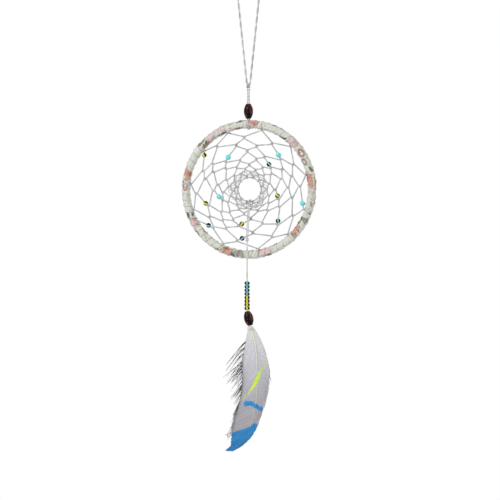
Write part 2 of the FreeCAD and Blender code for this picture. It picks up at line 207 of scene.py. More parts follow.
class Finish:
    """A procedural material under construction: its node tree and its main shader."""

    def __init__(self, name, **sockets):
        self.material = bpy.data.materials.new(name)
        self.material.use_nodes = True
        self.tree = self.material.node_tree
        self.shader = self.tree.nodes["Principled BSDF"]
        for socket, value in sockets.items():
            self.shader.inputs[socket.replace("_", " ")].default_value = value

    def node(self, kind, inputs=(), **settings):
        """A new node. Its inputs are pairs of socket and a value or another node's output."""
        made = self.tree.nodes.new("ShaderNode" + kind)
        for key, value in settings.items():
            setattr(made, key, value)
        for socket, value in inputs:
            self.feed(made.inputs[socket], value)
        return made

    def feed(self, socket, value):
        """A link or a plain value into a socket."""
        if isinstance(value, bpy.types.NodeSocket):
            self.tree.links.new(value, socket)
        else:
            socket.default_value = value

    def place(self, stretch=(1, 1, 1)):
        """Coordinates in the piece's own space, stretched."""
        here = self.node("TexCoord").outputs["Object"]
        return self.node("Mapping", [("Vector", here), ("Scale", stretch)]).outputs["Vector"]

    def noise(self, where, scale, detail=3.0, roughness=0.55, distortion=0.0):
        made = self.node("TexNoise", [("Vector", where), ("Scale", scale), ("Detail", detail),
                                      ("Roughness", roughness), ("Distortion", distortion)])
        return made.outputs["Fac"]

    def ramp(self, factor, *stops):
        """A colour ramp from pairs of place and colour."""
        made = self.node("ValToRGB", [("Fac", factor)])
        elements = made.color_ramp.elements
        while len(elements) < len(stops):
            elements.new(0.5)
        for element, (position, colour) in zip(elements, stops):
            element.position = position
            element.color = colour
        return made.outputs["Color"]

    def mix(self, factor, first, second, blend="MIX"):
        made = self.node("Mix", data_type="RGBA", blend_type=blend)
        for number, value in ((0, factor), (6, first), (7, second)):
            self.feed(made.inputs[number], value)
        return made.outputs[2]

    def math(self, operation, *values):
        return self.node("Math", enumerate(values), operation=operation).outputs[0]

    def relief(self, height, distance, strength=1.0):
        """Bump from a height that varies over a distance in metres."""
        inputs = [("Height", height), ("Strength", strength), ("Distance", distance)]
        made = self.node("Bump", inputs)
        self.link(made.outputs["Normal"], "Normal")

    def link(self, output, socket="Base Color"):
        self.tree.links.new(output, self.shader.inputs[socket])

    def gloss(self, factor, low, high, last=0.7):
        """Roughness between two values, by a varying factor."""
        smooth, rough = (low, low, low, 1), (high, high, high, 1)
        self.link(self.ramp(factor, (0.3, smooth), (last, rough)), "Roughness")


def cotton(name, colour, dark, grain):
    """Spun cotton: fibres along it, darker in fine random patches, and a faint sheen."""
    finish = Finish(name, Roughness=0.75, Sheen_Weight=0.25, Sheen_Roughness=0.4)
    fibres = finish.noise(finish.place(), grain, 4.0, 0.7)
    patches = finish.noise(finish.place(), 160.0, 2.0)
    blend = finish.math("MULTIPLY", fibres, patches)
    finish.link(finish.ramp(blend, (0.12, dark), (0.42, colour)))
    finish.gloss(fibres, 0.6, 0.85)
    finish.relief(fibres, 0.00008, 0.8)
    return finish.material


def printed_cotton():
    """Thin printed cotton: a plain weave, soft wrinkles, and the print held in the mesh."""
    finish = Finish("printed_cotton", Roughness=0.88, Sheen_Weight=0.2, Sheen_Roughness=0.5)
    printed = finish.node("Attribute", attribute_name="print").outputs["Color"]
    weave = finish.node("Attribute", attribute_name="weave").outputs["Vector"]
    threads = []
    for direction in ("X", "Y"):
        settings = [("Vector", weave), ("Scale", 0.62), ("Distortion", 0.6), ("Detail", 1.0),
                    ("Detail Scale", 2.0)]
        wave = finish.node("TexWave", settings, bands_direction=direction)
        threads.append(wave.outputs["Fac"])
    cloth = finish.math("MULTIPLY", threads[0], threads[1])
    lint = finish.noise(finish.place(), 900.0, 5.0, 0.65)
    worn = finish.mix(finish.math("MULTIPLY", lint, 0.16), printed, paint(238, 237, 230))
    shade = finish.ramp(cloth, (0.0, paint(214, 213, 209)), (0.55, paint(255, 255, 255)))
    finish.link(finish.mix(1.0, worn, shade, "MULTIPLY"))
    finish.gloss(lint, 0.8, 0.95)
    wrinkles = finish.noise(finish.place(), 420.0, 3.0, 0.6, 0.8)
    height = finish.math("ADD", finish.math("MULTIPLY", cloth, 0.35), wrinkles)
    finish.relief(height, 0.0003, 0.7)
    return finish.material


def polished_wood():
    """Dark burgundy wood under varnish, with reddish grain along it; its pale pinkish streaks are
    partly grain and partly painted highlights of the varnish.
    """
    finish = Finish("polished_dark_wood", Roughness=0.3, Coat_Weight=0.09, Coat_Roughness=0.06,
                    Specular_IOR_Level=0.07)
    along = finish.place((1.0, 1.0, 0.16))
    grain = finish.noise(along, 620.0, 5.0, 0.6, 1.4)
    pores = finish.noise(finish.place((1.0, 1.0, 0.08)), 1900.0, 2.0, 0.5)
    # The pale pinkish stop paints streaks that are partly the wood's grain and partly painted
    # highlights on the varnish
    body = finish.ramp(grain, (0.40, paint(8, 2, 3)), (0.56, paint(26, 6, 8)),
                       (0.605, paint(146, 86, 78)), (0.64, paint(30, 7, 9)))
    speckle = finish.ramp(pores, (0.34, paint(120, 110, 110)), (0.5, paint(255, 255, 255)))
    finish.link(finish.mix(1.0, body, speckle, "MULTIPLY"))
    finish.gloss(grain, 0.22, 0.42)
    finish.relief(grain, 0.00012, 0.5)
    return finish.material


def lined_glass(name, dark, body, light, twist, band, side):
    """Dark glass with three bright bands along the bead, a third of a turn apart all round it. The
    bands are painted light: a painted glow through the glass, with painted shade toward the sides
    between them.
    """
    dark, body, light = paint(*dark), paint(*body), paint(*light)
    finish = Finish(name, Roughness=0.14, Coat_Weight=0.1, Coat_Roughness=0.05, IOR=1.5,
                    Specular_IOR_Level=0.08)
    here = finish.place()
    drift = finish.noise(here, 520.0, 2.0, 0.5, 0.9)
    size = 0.25 / MM
    place = finish.node("SeparateXYZ", [(0, finish.place((size, -size, size)))]).outputs
    flat = finish.node("VectorMath", [(0, finish.place((size, size, 0.0)))], operation="LENGTH")
    turned = finish.math("SUBTRACT", finish.math("ARCTAN2", place["X"], place["Y"]), BAND_TURN)
    folded = finish.math("WRAP", turned, FULL_TURN / 6, -FULL_TURN / 6)
    across = finish.math("MULTIPLY", flat.outputs["Value"], finish.math("SINE", folded))
    leaning = finish.math("ADD", across, finish.math("MULTIPLY", place["Z"], twist))
    wavy = finish.math("MULTIPLY", drift, 0.2)
    sweep = finish.math("ADD", finish.math("ADD", leaning, 0.4), wavy)
    # Painted light: bright bands of glow through the glass, darkened between them as painted shade
    # at the bead's sides
    painted_glow_and_side_shade = finish.ramp(sweep, (0.5 - side, dark), (0.5 - 0.7 * side, body), (0.5 - band, light),
                        (0.5 + band * 0.6, light), (0.5 + 0.7 * side, body), (0.5 + side, dark))
    finish.link(painted_glow_and_side_shade)
    tiny = finish.noise(here, 2600.0, 2.0)
    finish.gloss(tiny, 0.08, 0.22, 0.8)
    finish.relief(drift, 0.00006, 0.4)
    return finish.material


def opaque_stone():
    """Turquoise glass paste: nearly even, with faint veins and a wax polish."""
    finish = Finish("turquoise_paste", Roughness=0.28, Coat_Weight=0.5, Coat_Roughness=0.12,
                    Subsurface_Weight=0.08, Subsurface_Scale=0.001)
    cloud = finish.noise(finish.place(), 700.0, 4.0, 0.6, 0.5)
    finish.link(finish.ramp(cloud, (0.30, paint(62, 186, 190)), (0.5, paint(92, 214, 214)),
                            (0.72, paint(140, 232, 228))))
    finish.gloss(cloud, 0.22, 0.36)
    finish.relief(cloud, 0.00005, 0.5)
    return finish.material


def steel():
    """The hoop's wire under the cloth: drawn steel with fine marks."""
    finish = Finish("drawn_steel", Metallic=1.0, Roughness=0.35)
    marks = finish.noise(finish.place(), 1500.0, 3.0)
    finish.link(finish.ramp(marks, (0.3, paint(150, 150, 152)), (0.7, paint(196, 196, 198))))
    finish.gloss(marks, 0.28, 0.46)
    finish.relief(marks, 0.00005, 0.3)
    return finish.material


def feather_finish(name, roughness):
    """Feather keratin: the colour is held in the mesh, broken up finely along the barbs."""
    finish = Finish(name, Roughness=roughness, Sheen_Weight=0.3, Sheen_Roughness=0.35)
    held = finish.node("Attribute", attribute_name="print").outputs["Color"]
    silk = finish.noise(finish.place((1.0, 1.0, 0.25)), 2400.0, 3.0, 0.6)
    shade = finish.ramp(silk, (0.3, paint(236, 236, 238)), (0.7, paint(255, 255, 255)))
    finish.link(finish.mix(1.0, held, shade, "MULTIPLY"))
    finish.gloss(silk, roughness - 0.1, roughness + 0.12)
    finish.relief(silk, 0.00006, 0.5)
    return finish.material


def pale_floor():
    finish = Finish("pale_floor", Roughness=0.8)
    grain = finish.noise(finish.place(), 40.0, 4.0)
    finish.link(finish.ramp(grain, (0.3, paint(236, 236, 235)), (0.7, paint(243, 243, 242))))
    return finish.material


# ---------------------------------------------------------------- mesh tools

def unit(vectors):
    return vectors / np.linalg.norm(vectors, axis=-1, keepdims=True)


def grid_faces(rows, columns, wrap_rows=False, wrap_columns=True):
    """Four-sided faces between the points of a grid, as lists of point numbers."""
    row = np.arange(rows if wrap_rows else rows - 1)[:, None]
    column = np.arange(columns if wrap_columns else columns - 1)[None, :]
    next_row = (row + 1) % rows
    next_column = (column + 1) % columns
    corners = (row * columns + column, row * columns + next_column,
               next_row * columns + next_column, next_row * columns + column)
    return np.stack(corners, axis=-1).reshape(-1, 4).tolist()


def new_object(name, data):
    """An object in the scene for the data."""
    made = bpy.data.objects.new(name, data)
    bpy.context.scene.collection.objects.link(made)
    return made


class Shape:
    """Points, faces and point values gathered for one mesh."""

    def __init__(self):
        self.points = []
        self.faces = []
        self.values = {}
        self.count = 0

    def add(self, points, faces, **values):
        self.faces += [[corner + self.count for corner in face] for face in faces]
        self.points.append(points)
        self.count += len(points)
        for name, value in values.items():
            self.values.setdefault(name, []).append(np.broadcast_to(value, (len(points), 3)))
        return self

    def piece(self, name, body, finish, slot, nodes=(), centre=(0, 0, 0), turn=None):
        """The finished mesh piece, riding on a CAD body and standing for CAD nodes."""
        stand = Matrix.Translation(Vector(centre))
        if turn is not None:
            stand = stand @ turn.to_matrix().to_4x4()
        mesh = bpy.data.meshes.new(name)
        mesh.from_pydata(np.concatenate(self.points).tolist(), [], self.faces)
        for key, parts in self.values.items():
            value = np.concatenate(parts)
            if key == "weave":
                held = mesh.attributes.new(key, "FLOAT_VECTOR", "POINT")
                held.data.foreach_set("vector", value.ravel())
            else:
                held = mesh.color_attributes.new(key, "FLOAT_COLOR", "POINT")
                colour = np.concatenate([value, np.ones((len(value), 1))], axis=1)
                held.data.foreach_set("color", colour.ravel())
        mesh.transform(stand.inverted())
        mesh.shade_smooth()
        mesh.materials.append(finish)
        obj = new_object(name, mesh)
        obj.matrix_world = stand
        if isinstance(body, tuple):
            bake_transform(obj)
        else:
            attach(obj, body)
        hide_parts(*nodes)
        return obj


def on_ring(angles, reach, y=0.0):
    """Points about the middle of an upright ring, at clockwise angles from its top."""
    return np.stack([reach * np.sin(angles), y + 0 * angles, reach * np.cos(angles)], axis=-1)


def frame_along(path, closed=False):
    """Two crosswise directions along a path, which turn with it as little as they can."""
    ahead = np.roll(path, -1, 0) - np.roll(path, 1, 0) if closed else np.gradient(path, axis=0)
    tangents = unit(ahead)
    side = np.zeros_like(path)
    guide = np.cross(tangents[0], (0.31, 0.94, 0.13))
    for number, tangent in enumerate(tangents):
        guide = guide - tangent * np.dot(guide, tangent)
        guide = guide / np.linalg.norm(guide)
        side[number] = guide
    return side, np.cross(tangents, side)


def tube(path, radius, sides, closed=False):
    """Points and faces of a tube along a path, with its ends capped unless it is closed."""
    side, other = frame_along(path, closed)
    turn = (np.arange(sides) * FULL_TURN / sides)[None, :, None]
    ring = np.cos(turn) * side[:, None, :] + np.sin(turn) * other[:, None, :]
    size = np.broadcast_to(radius, len(path))[:, None, None]
    points = (path[:, None, :] + size * ring).reshape(-1, 3)
    faces = grid_faces(len(path), sides, closed)
    if not closed:
        faces.append(list(range(sides))[::-1])
        faces.append(list(range(len(points) - sides, len(points))))
    return points, faces


def evenly(path, step):
    """The same path with points at even steps."""
    gaps = np.linalg.norm(np.diff(path, axis=0), axis=1)
    along = np.concatenate([[0], np.cumsum(gaps)])
    count = max(3, int(along[-1] / step) + 1)
    stops = np.linspace(0, along[-1], count)
    return np.stack([np.interp(stops, along, path[:, axis]) for axis in range(3)], axis=1)


def smooth_line(route, step):
    """Even points along the smooth NURBS line that has the route as its control points."""
    curve = bpy.data.curves.new("route", "CURVE")
    curve.dimensions = "3D"
    spline = curve.splines.new("NURBS")
    spline.points.add(len(route) - 1)
    for point, place in zip(spline.points, route):
        point.co = (*place, 1.0)
    spline.order_u = 3
    spline.use_endpoint_u = True
    spline.resolution_u = 16 if len(route) < 12 else 4
    obj = bpy.data.objects.new("route", curve)
    mesh = bpy.data.meshes.new_from_object(obj)
    points = np.array([vertex.co for vertex in mesh.vertices], float)
    bpy.data.objects.remove(obj)
    bpy.data.meshes.remove(mesh)
    bpy.data.curves.remove(curve)
    return evenly(points, step)


def rope_shape(path, lay, closed=False, shape=None, ply_radius=None):
    """Plies twisted round each other along a path."""
    shape = shape or Shape()
    radius, plies, pitch, sides = lay
    side, other = frame_along(path, closed)
    gaps = np.linalg.norm(np.roll(path, -1, 0) - path, axis=1)
    along = np.concatenate([[0], np.cumsum(gaps)])
    if closed:
        pitch = along[-1] / round(along[-1] / pitch)
    ply_radius = ply_radius or radius * PLY_SHARE[plies]
    for ply in range(plies):
        turn = (along[:-1] / pitch + ply / plies) * FULL_TURN
        offset = np.cos(turn)[:, None] * side + np.sin(turn)[:, None] * other
        line = path + (radius - ply_radius) * offset
        shape.add(*tube(line, ply_radius * PLY_PRESS, sides, closed))
    return shape


def cord_shape(route, step, lay, shape=None):
    """A cord along the smooth line of a route."""
    return rope_shape(smooth_line(route, step), lay, False, shape)


def bead_section(length, middle, end, bore, lip):
    """A bead's section: down its bulging side, round a lip, up its bore and round the top lip."""
    half = length / 2 - lip
    rise = middle - end
    bulge = (half ** 2 + rise ** 2) / (2 * rise)
    spread = math.asin(half / bulge)
    side = [(middle - bulge + bulge * math.cos(angle), bulge * math.sin(angle))
            for angle in np.linspace(spread, -spread, 19)]
    lower = [((end + bore) / 2 + (end - bore) / 2 * math.cos(angle), -half - lip * math.sin(angle))
             for angle in np.linspace(0, math.pi, 7)[1:-1]]
    inside = [(bore, height) for height in np.linspace(-half, half, 7)]
    upper = [(radius, -height) for radius, height in lower[::-1]]
    return np.array(side + lower + inside + upper)


def add_bead(kind, node, axis, section, finish, slot, seed, centre=None):
    """A bead for a CAD node and its body, turned about its axis and slightly out of round."""
    low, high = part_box(node)
    centre = np.array((low + high) / 2) if centre is None else centre
    phase = np.random.default_rng(seed).uniform(0, FULL_TURN, 2)
    azimuth = np.arange(BEAD_SIDES) * FULL_TURN / BEAD_SIDES
    waves = 0.6 * np.sin(2 * azimuth + phase[0]) + 0.4 * np.sin(3 * azimuth + phase[1])
    outward = np.stack([np.cos(azimuth), np.sin(azimuth), 0 * azimuth], axis=1)
    outward = outward * (1 - BEAD_WOBBLE * (1 + waves) / 2)[:, None]
    local = outward[:, None, :] * section[None, :, :1]
    local[:, :, 2] = section[None, :, 1]
    tilt = Vector((0, 0, 1)).rotation_difference(Vector(unit(np.asarray(axis, float))))
    points = local.reshape(-1, 3) @ np.array(tilt.to_matrix()).T + centre
    faces = grid_faces(BEAD_SIDES, len(section), True, True)
    Shape().add(points, faces).piece(f"{node}_{kind}", node, finish, slot, [node], centre, tilt)


# ---------------------------------------------------------------- camera, lights, floor

def add_camera():
    across = Vector((math.cos(VIEW_TURN), math.sin(VIEW_TURN), 0))
    outward = Vector((math.sin(VIEW_TURN), -math.cos(VIEW_TURN), 0))
    data = bpy.data.cameras.new("camera")
    data.lens = VIEW_LENS
    data.sensor_width = 36
    camera = new_object("camera", data)
    middle = Vector((0, 0, VIEW_HEIGHT))
    camera.location = middle + across * VIEW_SIDESTEP + outward * VIEW_DISTANCE
    camera.rotation_euler = (-outward).to_track_quat("-Z", "Y").to_euler()
    bpy.context.scene.camera = camera


def add_lamp(name, place, power, size):
    data = bpy.data.lights.new(name, "AREA")
    data.energy = power
    data.size = size
    lamp = new_object(name, data)
    lamp.location = place
    aim = Vector(LAMP_TARGET) - Vector(place)
    lamp.rotation_euler = aim.to_track_quat("-Z", "Y").to_euler()


def add_studio():
    """A white surround, a soft key light from the upper left, a weak fill, and the floor."""
    world = bpy.data.worlds.new("studio")
    bpy.context.scene.world = world
    world.use_nodes = True
    tree = world.node_tree
    surround = tree.nodes["Background"]
    surround.inputs["Color"].default_value = (0.62, 0.62, 0.63, 1)
    backdrop = tree.nodes.new("ShaderNodeBackground")
    backdrop.inputs["Color"].default_value = (1, 1, 1, 1)
    seen = tree.nodes.new("ShaderNodeLightPath")
    both = tree.nodes.new("ShaderNodeMixShader")
    tree.links.new(seen.outputs["Is Camera Ray"], both.inputs["Fac"])
    tree.links.new(surround.outputs[0], both.inputs[1])
    tree.links.new(backdrop.outputs[0], both.inputs[2])
    tree.links.new(both.outputs[0], tree.nodes["World Output"].inputs["Surface"])
    add_lamp("key", (-1.1, -1.5, 0.9), 26, 0.9)
    add_lamp("fill", (1.3, -1.2, 0.1), 9, 1.2)
    add_lamp("back", (0.4, 1.6, 0.8), 12, 1.0)
    bpy.context.scene.view_settings.view_transform = "Standard"
    azimuth = np.arange(FLOOR_SIDES) * FULL_TURN / FLOOR_SIDES
    points = np.concatenate([
        np.stack([radius * np.cos(azimuth), radius * np.sin(azimuth), 0 * azimuth + height], 1)
        for radius, height in FLOOR_PROFILE])
    faces = grid_faces(len(FLOOR_PROFILE), FLOOR_SIDES)
    faces.append(list(range(len(points) - FLOOR_SIDES, len(points))))
    faces.append(list(range(FLOOR_SIDES))[::-1])
    mesh = bpy.data.meshes.new("floor")
    mesh.from_pydata(points.tolist(), [], faces)
    mesh.materials.append(pale_floor())
    floor = new_object("floor", mesh)


# ---------------------------------------------------------------- cords

def helix(centre, radius, start, turns, rise, axis, steps=16):
    """Points round an axis: the first angle is from +Z or, about Z, from the front."""
    angles = start + np.linspace(0, turns * FULL_TURN, int(abs(turns) * steps) + 1)
    along = np.linspace(-rise / 2, rise / 2, len(angles))
    if axis == "X":
        points = np.stack([along, -radius * np.sin(angles), radius * np.cos(angles)], axis=1)
    else:
        points = np.stack([radius * np.sin(angles), -radius * np.cos(angles), along], axis=1)
    return points + np.asarray(centre)


def add_hanging_cords(cord, grey_cord):
    """The loop over the peg, its knot, the two strands through the top bead, and the hitch."""
    low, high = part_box("loop_knot")
    middle = (0, 0, (low.z + high.z) / 2)
    knot = Shape()
    coil = helix(middle, 1.05 * MM, 0.4, 2.1, 2.9 * MM, "Z")
    cord_shape(coil, 0.3 * MM, (0.62 * MM, 2, 4.0 * MM, 8), knot)
    cross_over = [
        (-1.2, 0.4, -1.6), (-1.45, -0.7, -1.0), (-0.5, -1.6, -0.2), (0.7, -1.5, 0.7),
        (1.45, -0.6, 1.2), (1.2, 0.7, 1.4), (0.2, 1.2, 1.0),
    ]
    cord_shape(np.array(cross_over) * MM + middle, 0.3 * MM, (0.58 * MM, 2, 4.0 * MM, 8), knot)
    for side in (-1, 1):
        through = [(side * 1.4 * MM, 0, high.z + 0.2 * MM), (side * 0.5 * MM, 0, middle[2]),
                   (side * STRAND_OFFSET, 0, low.z)]
        cord_shape(through, 0.3 * MM, (CORD_RADIUS * 0.9, 3, 2.6 * MM, 6), knot)
    knot = knot.piece("loop_knot_cord", "loop", grey_cord, "cord", ["loop_knot"])

    path = smooth_line(LOOP_ROUTE, 0.4 * MM)
    loop = rope_shape(path, LOOP_LAY)
    loop = loop.piece("hanging_loop_cord", "loop", grey_cord, "cord", ["hanging_loop"])

    hitch_low, hitch_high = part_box("hoop_hitch")
    strands = Shape()
    heights = np.linspace(low.z + 0.3 * MM, hitch_high.z - HITCH_THREAD, 33)
    sway = 1 + 0.15 * np.cos(np.linspace(0, 2 * FULL_TURN, 33))
    for side in (-1, 1):
        route = np.stack([side * STRAND_OFFSET * sway, 0 * heights, heights], axis=1)
        cord_shape(route, 0.4 * MM, STRAND_LAY, strands)
    strands.piece("hanger_strands_cord", "hanger", cord, "cord", ["hanger_strands"])
    hitch_radius = (hitch_high.z - hitch_low.z) / 2 - HITCH_THREAD - 0.25 * MM
    coil = helix(HOOP_CENTRE + (0, 0, RING_RADIUS), hitch_radius, 0, 2, 1.95 * MM, "X", 24)
    hitch = cord_shape(coil, 0.3 * MM, (HITCH_THREAD, 2, 2.4 * MM, 6))
    hitch.piece("hoop_hitch_cord", "hanger", cord, "cord", ["hoop_hitch"])


def add_pendant_cords(cord, thread):
    """The tie round the eye, the two strands to the knot, and the single cord to the beads."""
    low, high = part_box("pendant_tie")
    centre = ((low.x + high.x) / 2, 0, (low.z + high.z) / 2)
    coil = helix(centre, (high.z - low.z) / 2 - HITCH_THREAD, math.pi / 2, 2, 1.9 * MM, "X", 20)
    tie = cord_shape(coil, 0.25 * MM, (HITCH_THREAD, 2, 2.2 * MM, 6))
    tie.piece("pendant_tie_cord", "pendant_upper", thread, "cord", ["pendant_tie"])

    low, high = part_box("pendant_knot")
    middle = np.array((low + high) / 2)
    knot = Shape()
    coil = helix(middle, 0.8 * MM, 1.0, 2.2, 1.7 * MM, "Z")
    over = [(-0.9, 0.3, -0.8), (-1.1, -0.6, -0.5), (0, -1.25, 0), (1.1, -0.5, 0.6),
            (0.8, 0.5, 0.8)]
    core = [(0, middle[1], high.z), (0.1 * MM, *middle[1:]), (0, middle[1], low.z - 0.2 * MM)]
    for route, radius in ((coil, 0.5), (np.array(over) * MM + middle, 0.45), (core, 0.55)):
        cord_shape(route, 0.25 * MM, (radius * MM, 3, 2.2 * MM, 6), knot)
    knot = knot.piece("pendant_knot_cord", "pendant_upper", cord, "cord", ["pendant_knot"])

    for name, side in (("left", -1), ("right", 1)):
        route = [
            (0.0009 + side * 0.00055, -0.0014, -0.1764),
            (0.00083 + side * 0.00055, -0.0017, -0.1794),
            (0.0004 + side * 0.0006, -0.00292, -0.1915),
            (side * 0.00055, PENDANT_Y, -0.2056),
        ]
        path = smooth_line(route, 0.35 * MM)
        strand = rope_shape(path, EYE_STRAND_LAY)
        nodes = ["pendant_cord_upper"] if side < 0 else []
        strand = strand.piece(f"eye_strand_{name}", "pendant_upper", cord, "cord", nodes)

    low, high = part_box("stack_cord")
    inside = [(0, PENDANT_Y, high.z), (0, PENDANT_Y, -0.25), (0, PENDANT_Y, low.z)]
    stack = cord_shape(inside, 0.4 * MM, PENDANT_LAY)
    stack = stack.piece("stack_cord_strand", "stack", cord, "cord", ["stack_cord"])

    path = smooth_line(PENDANT_ROUTE, 0.35 * MM)
    bend = ("pendant_upper", "pendant_lower", (0, PENDANT_Y, -0.2152), (0, PENDANT_Y, -0.2212))
    single = rope_shape(path, PENDANT_LAY)
    nodes = ["pendant_cord_rim", "pendant_cord_lower"]
    single = single.piece("pendant_cord", bend, cord, "cord", nodes)


# ---------------------------------------------------------------- cloth on the hoop

SAGE = (219, 222, 212)
CORAL = (201, 116, 84)
RUST = (132, 54, 26)
BROWN = (122, 86, 64)
DARK_GREEN = (56, 68, 57)
BLACK_GREEN = (26, 31, 27)
PINK = (222, 186, 190)
PALE = (238, 236, 231)
OLIVE = (138, 139, 108)

# The print: clockwise angle on the hoop, angle round the tube (0 front, 90 outside), length along
# the hoop and width round it in millimetres, lean in degrees, colour, and kind
PRINT = [
    (5, 20, 4.2, 3.6, 10, CORAL, "blob"), (6, 5, 1.6, 1.4, 0, RUST, "blob"),
    (-9, -62, 3.4, 1.8, 0, RUST, "leaf"), (-7, 55, 3.2, 1.4, 15, DARK_GREEN, "leaf"),
    (2, -15, 3.0, 2.6, 0, PINK, "blob"), (13, 10, 3.0, 2.0, 30, PALE, "ring"),
    (17, -25, 2.8, 1.6, -30, PALE, "leaf"), (24, 60, 3.4, 0.9, 8, BROWN, "leaf"),
    (34, -52, 4.0, 1.5, -12, DARK_GREEN, "leaf"), (36, -30, 2.2, 1.0, 35, DARK_GREEN, "leaf"),
    (44, 5, 5.0, 4.0, 0, PINK, "blob"), (47, 25, 2.0, 1.4, 0, CORAL, "ring"),
    (60, 0, 4.6, 3.6, 0, PALE, "blob"), (57, 8, 2.9, 2.3, 0, RUST, "ring"),
    (64, -15, 2.6, 2.0, 0, BROWN, "ring"), (72, 40, 3.2, 1.2, 20, DARK_GREEN, "leaf"),
    (77, -40, 3.4, 2.6, 0, CORAL, "blob"), (83, -10, 4.0, 3.0, 12, CORAL, "blob"),
    (80, -35, 1.8, 1.2, 0, RUST, "blob"), (91, 8, 3.4, 3.6, 0, (214, 198, 194), "blob"),
    (101, 30, 2.6, 1.0, 25, OLIVE, "leaf"), (117, 30, 3.8, 3.4, 0, (104, 108, 100), "blob"),
    (119, -35, 2.6, 1.6, 20, DARK_GREEN, "leaf"), (124, -45, 2.6, 1.6, -20, RUST, "leaf"),
    (130, -12, 4.6, 2.6, 0, CORAL, "blob"), (132, 30, 2.2, 1.6, 0, BROWN, "ring"),
    (141, -18, 1.5, 1.3, 0, PALE, "flower"), (148, 22, 1.6, 1.4, 0, PALE, "flower"),
    (146, -55, 1.3, 1.0, 0, PALE, "flower"), (154, -52, 2.6, 1.1, 0, BLACK_GREEN, "leaf"),
    (165, 0, 4.8, 3.8, 0, PINK, "blob"), (168, -40, 3.0, 1.0, 0, CORAL, "leaf"),
    (163, 68, 3.6, 1.4, 0, BLACK_GREEN, "leaf"), (176, -8, 1.7, 1.6, 0, PALE, "flower"),
    (188, -10, 3.4, 3.0, 0, (128, 118, 110), "blob"), (192, 32, 3.0, 1.5, -20, DARK_GREEN, "leaf"),
    (199, 5, 4.2, 3.2, 0, CORAL, "blob"), (201, -30, 2.0, 1.4, 0, RUST, "blob"),
    (207, 40, 2.6, 1.2, 15, OLIVE, "leaf"), (238, 5, 5.0, 3.8, 0, PINK, "blob"),
    (240, -30, 2.4, 1.6, 0, CORAL, "ring"), (231, 50, 2.4, 1.2, 10, BROWN, "leaf"),
    (247, 35, 3.2, 1.7, 10, BLACK_GREEN, "leaf"), (246, -40, 2.6, 1.3, -25, DARK_GREEN, "leaf"),
    (263, 20, 1.4, 1.2, 0, PALE, "flower"), (272, 0, 2.2, 2.0, 0, RUST, "ring"),
    (275, 45, 2.4, 1.0, 20, BROWN, "leaf"), (281, -20, 3.6, 2.4, 0, CORAL, "blob"),
    (284, 25, 3.0, 2.2, 0, CORAL, "blob"), (283, -50, 1.8, 1.2, 0, RUST, "blob"),
    (308, 25, 3.0, 1.8, 0, PALE, "ring"), (317, -45, 2.4, 1.6, 0, RUST, "blob"),
    (315, 30, 3.6, 1.2, 0, DARK_GREEN, "leaf"), (318, -10, 2.2, 1.2, 40, DARK_GREEN, "leaf"),
    (323, 10, 5.0, 3.8, 0, PINK, "blob"), (321, -38, 1.8, 1.3, 0, RUST, "ring"),
    (333, -55, 4.0, 1.4, -8, BLACK_GREEN, "leaf"), (335, 25, 4.0, 2.6, 0, PINK, "blob"),
    (337, 55, 2.6, 0.9, 10, BROWN, "leaf"),
]


KINDS = ("blob", "leaf", "ring", "flower", "leaf")
# Faint motifs under the print, and bolder ones on the unseen back, are scattered: least and most
# of the five measures above
FAINT = (176, 170, 150)
FAINT_MOTIFS = 70
FAINT_RANGES = ((0, -80, 1.0, 0.35, -70), (360, 80, 2.6, 1.0, 70))
BACK_COLOURS = (PINK, DARK_GREEN, CORAL, PALE, OLIVE, BROWN, RUST)
BACK_MOTIFS = 120
BACK_RANGES = ((0, 85, 1.6, 1.2, -40), (360, 275, 4.2, 3.2, 40))
OUTLINE = 0.55                 # how dark and how strong the print's outlines are
RING_MIDDLE = 0.8              # where a printed ring's line runs, as a share of its outer edge


def motif_cover(kind, along, round_tube, bearing):
    """How much of a motif covers each place, from its own coordinates where 1 is its edge."""
    reach = np.hypot(along, round_tube)
    if kind == "ring":
        return fade(np.abs(reach - RING_MIDDLE), 0.384, 0.064)
    if kind == "leaf":
        return fade(np.abs(along) ** 1.6 + np.abs(round_tube), 1, 0.75)
    if kind == "flower":
        return fade(reach - 0.3 * np.cos(5 * bearing), 0.95, 0.7)
    uneven = 0.16 * np.sin(3 * bearing + 1) + 0.1 * np.sin(7 * bearing)
    return fade(reach - uneven, 1.05, 0.7)


def print_colours(hoop_angle, tube_angle, random):
    """The colour of the print at places on the bound hoop."""
    colour = np.broadcast_to(np.array(SAGE, float), (*hoop_angle.shape, 3)).copy()
    motifs = list(PRINT)
    for number in range(FAINT_MOTIFS):
        motifs.insert(0, (*random.uniform(*FAINT_RANGES), FAINT, KINDS[number % 3]))
    for number in range(BACK_MOTIFS):
        measures = random.uniform(*BACK_RANGES)
        ink = BACK_COLOURS[random.integers(len(BACK_COLOURS))]
        motifs.append((*measures, ink, KINDS[number % len(KINDS)]))
    for angle, tube_at, length, width, lean, ink, kind in motifs:
        along = np.radians((hoop_angle - angle + 180) % 360 - 180) * RING_RADIUS / MM
        about = np.radians((tube_angle - tube_at + 180) % 360 - 180) * WRAP_RADIUS / MM
        turn = math.radians(lean)
        here = (along * math.cos(turn) + about * math.sin(turn)) / length
        there = (-along * math.sin(turn) + about * math.cos(turn)) / width
        bearing = np.arctan2(there, here)
        cover = motif_cover(kind, here, there, bearing)
        petals = 0.5 + 0.5 * np.sin(5 * bearing + 6 * np.hypot(here, there) + angle)
        tint = laid_over(np.array(ink, float), PALE, 0.45 * petals) if kind == "blob" else ink
        colour = laid_over(colour, tint, cover * 0.92)
        if kind in ("blob", "leaf"):
            outline = bell(cover, 0.45, 0.22) * (cover > 0.02)
            colour = laid_over(colour, np.array(ink) * OUTLINE, outline * OUTLINE)
        if kind == "flower":
            colour = laid_over(colour, BROWN, fade(np.hypot(here, there), 0.35, 0.2))
    return linear(colour)


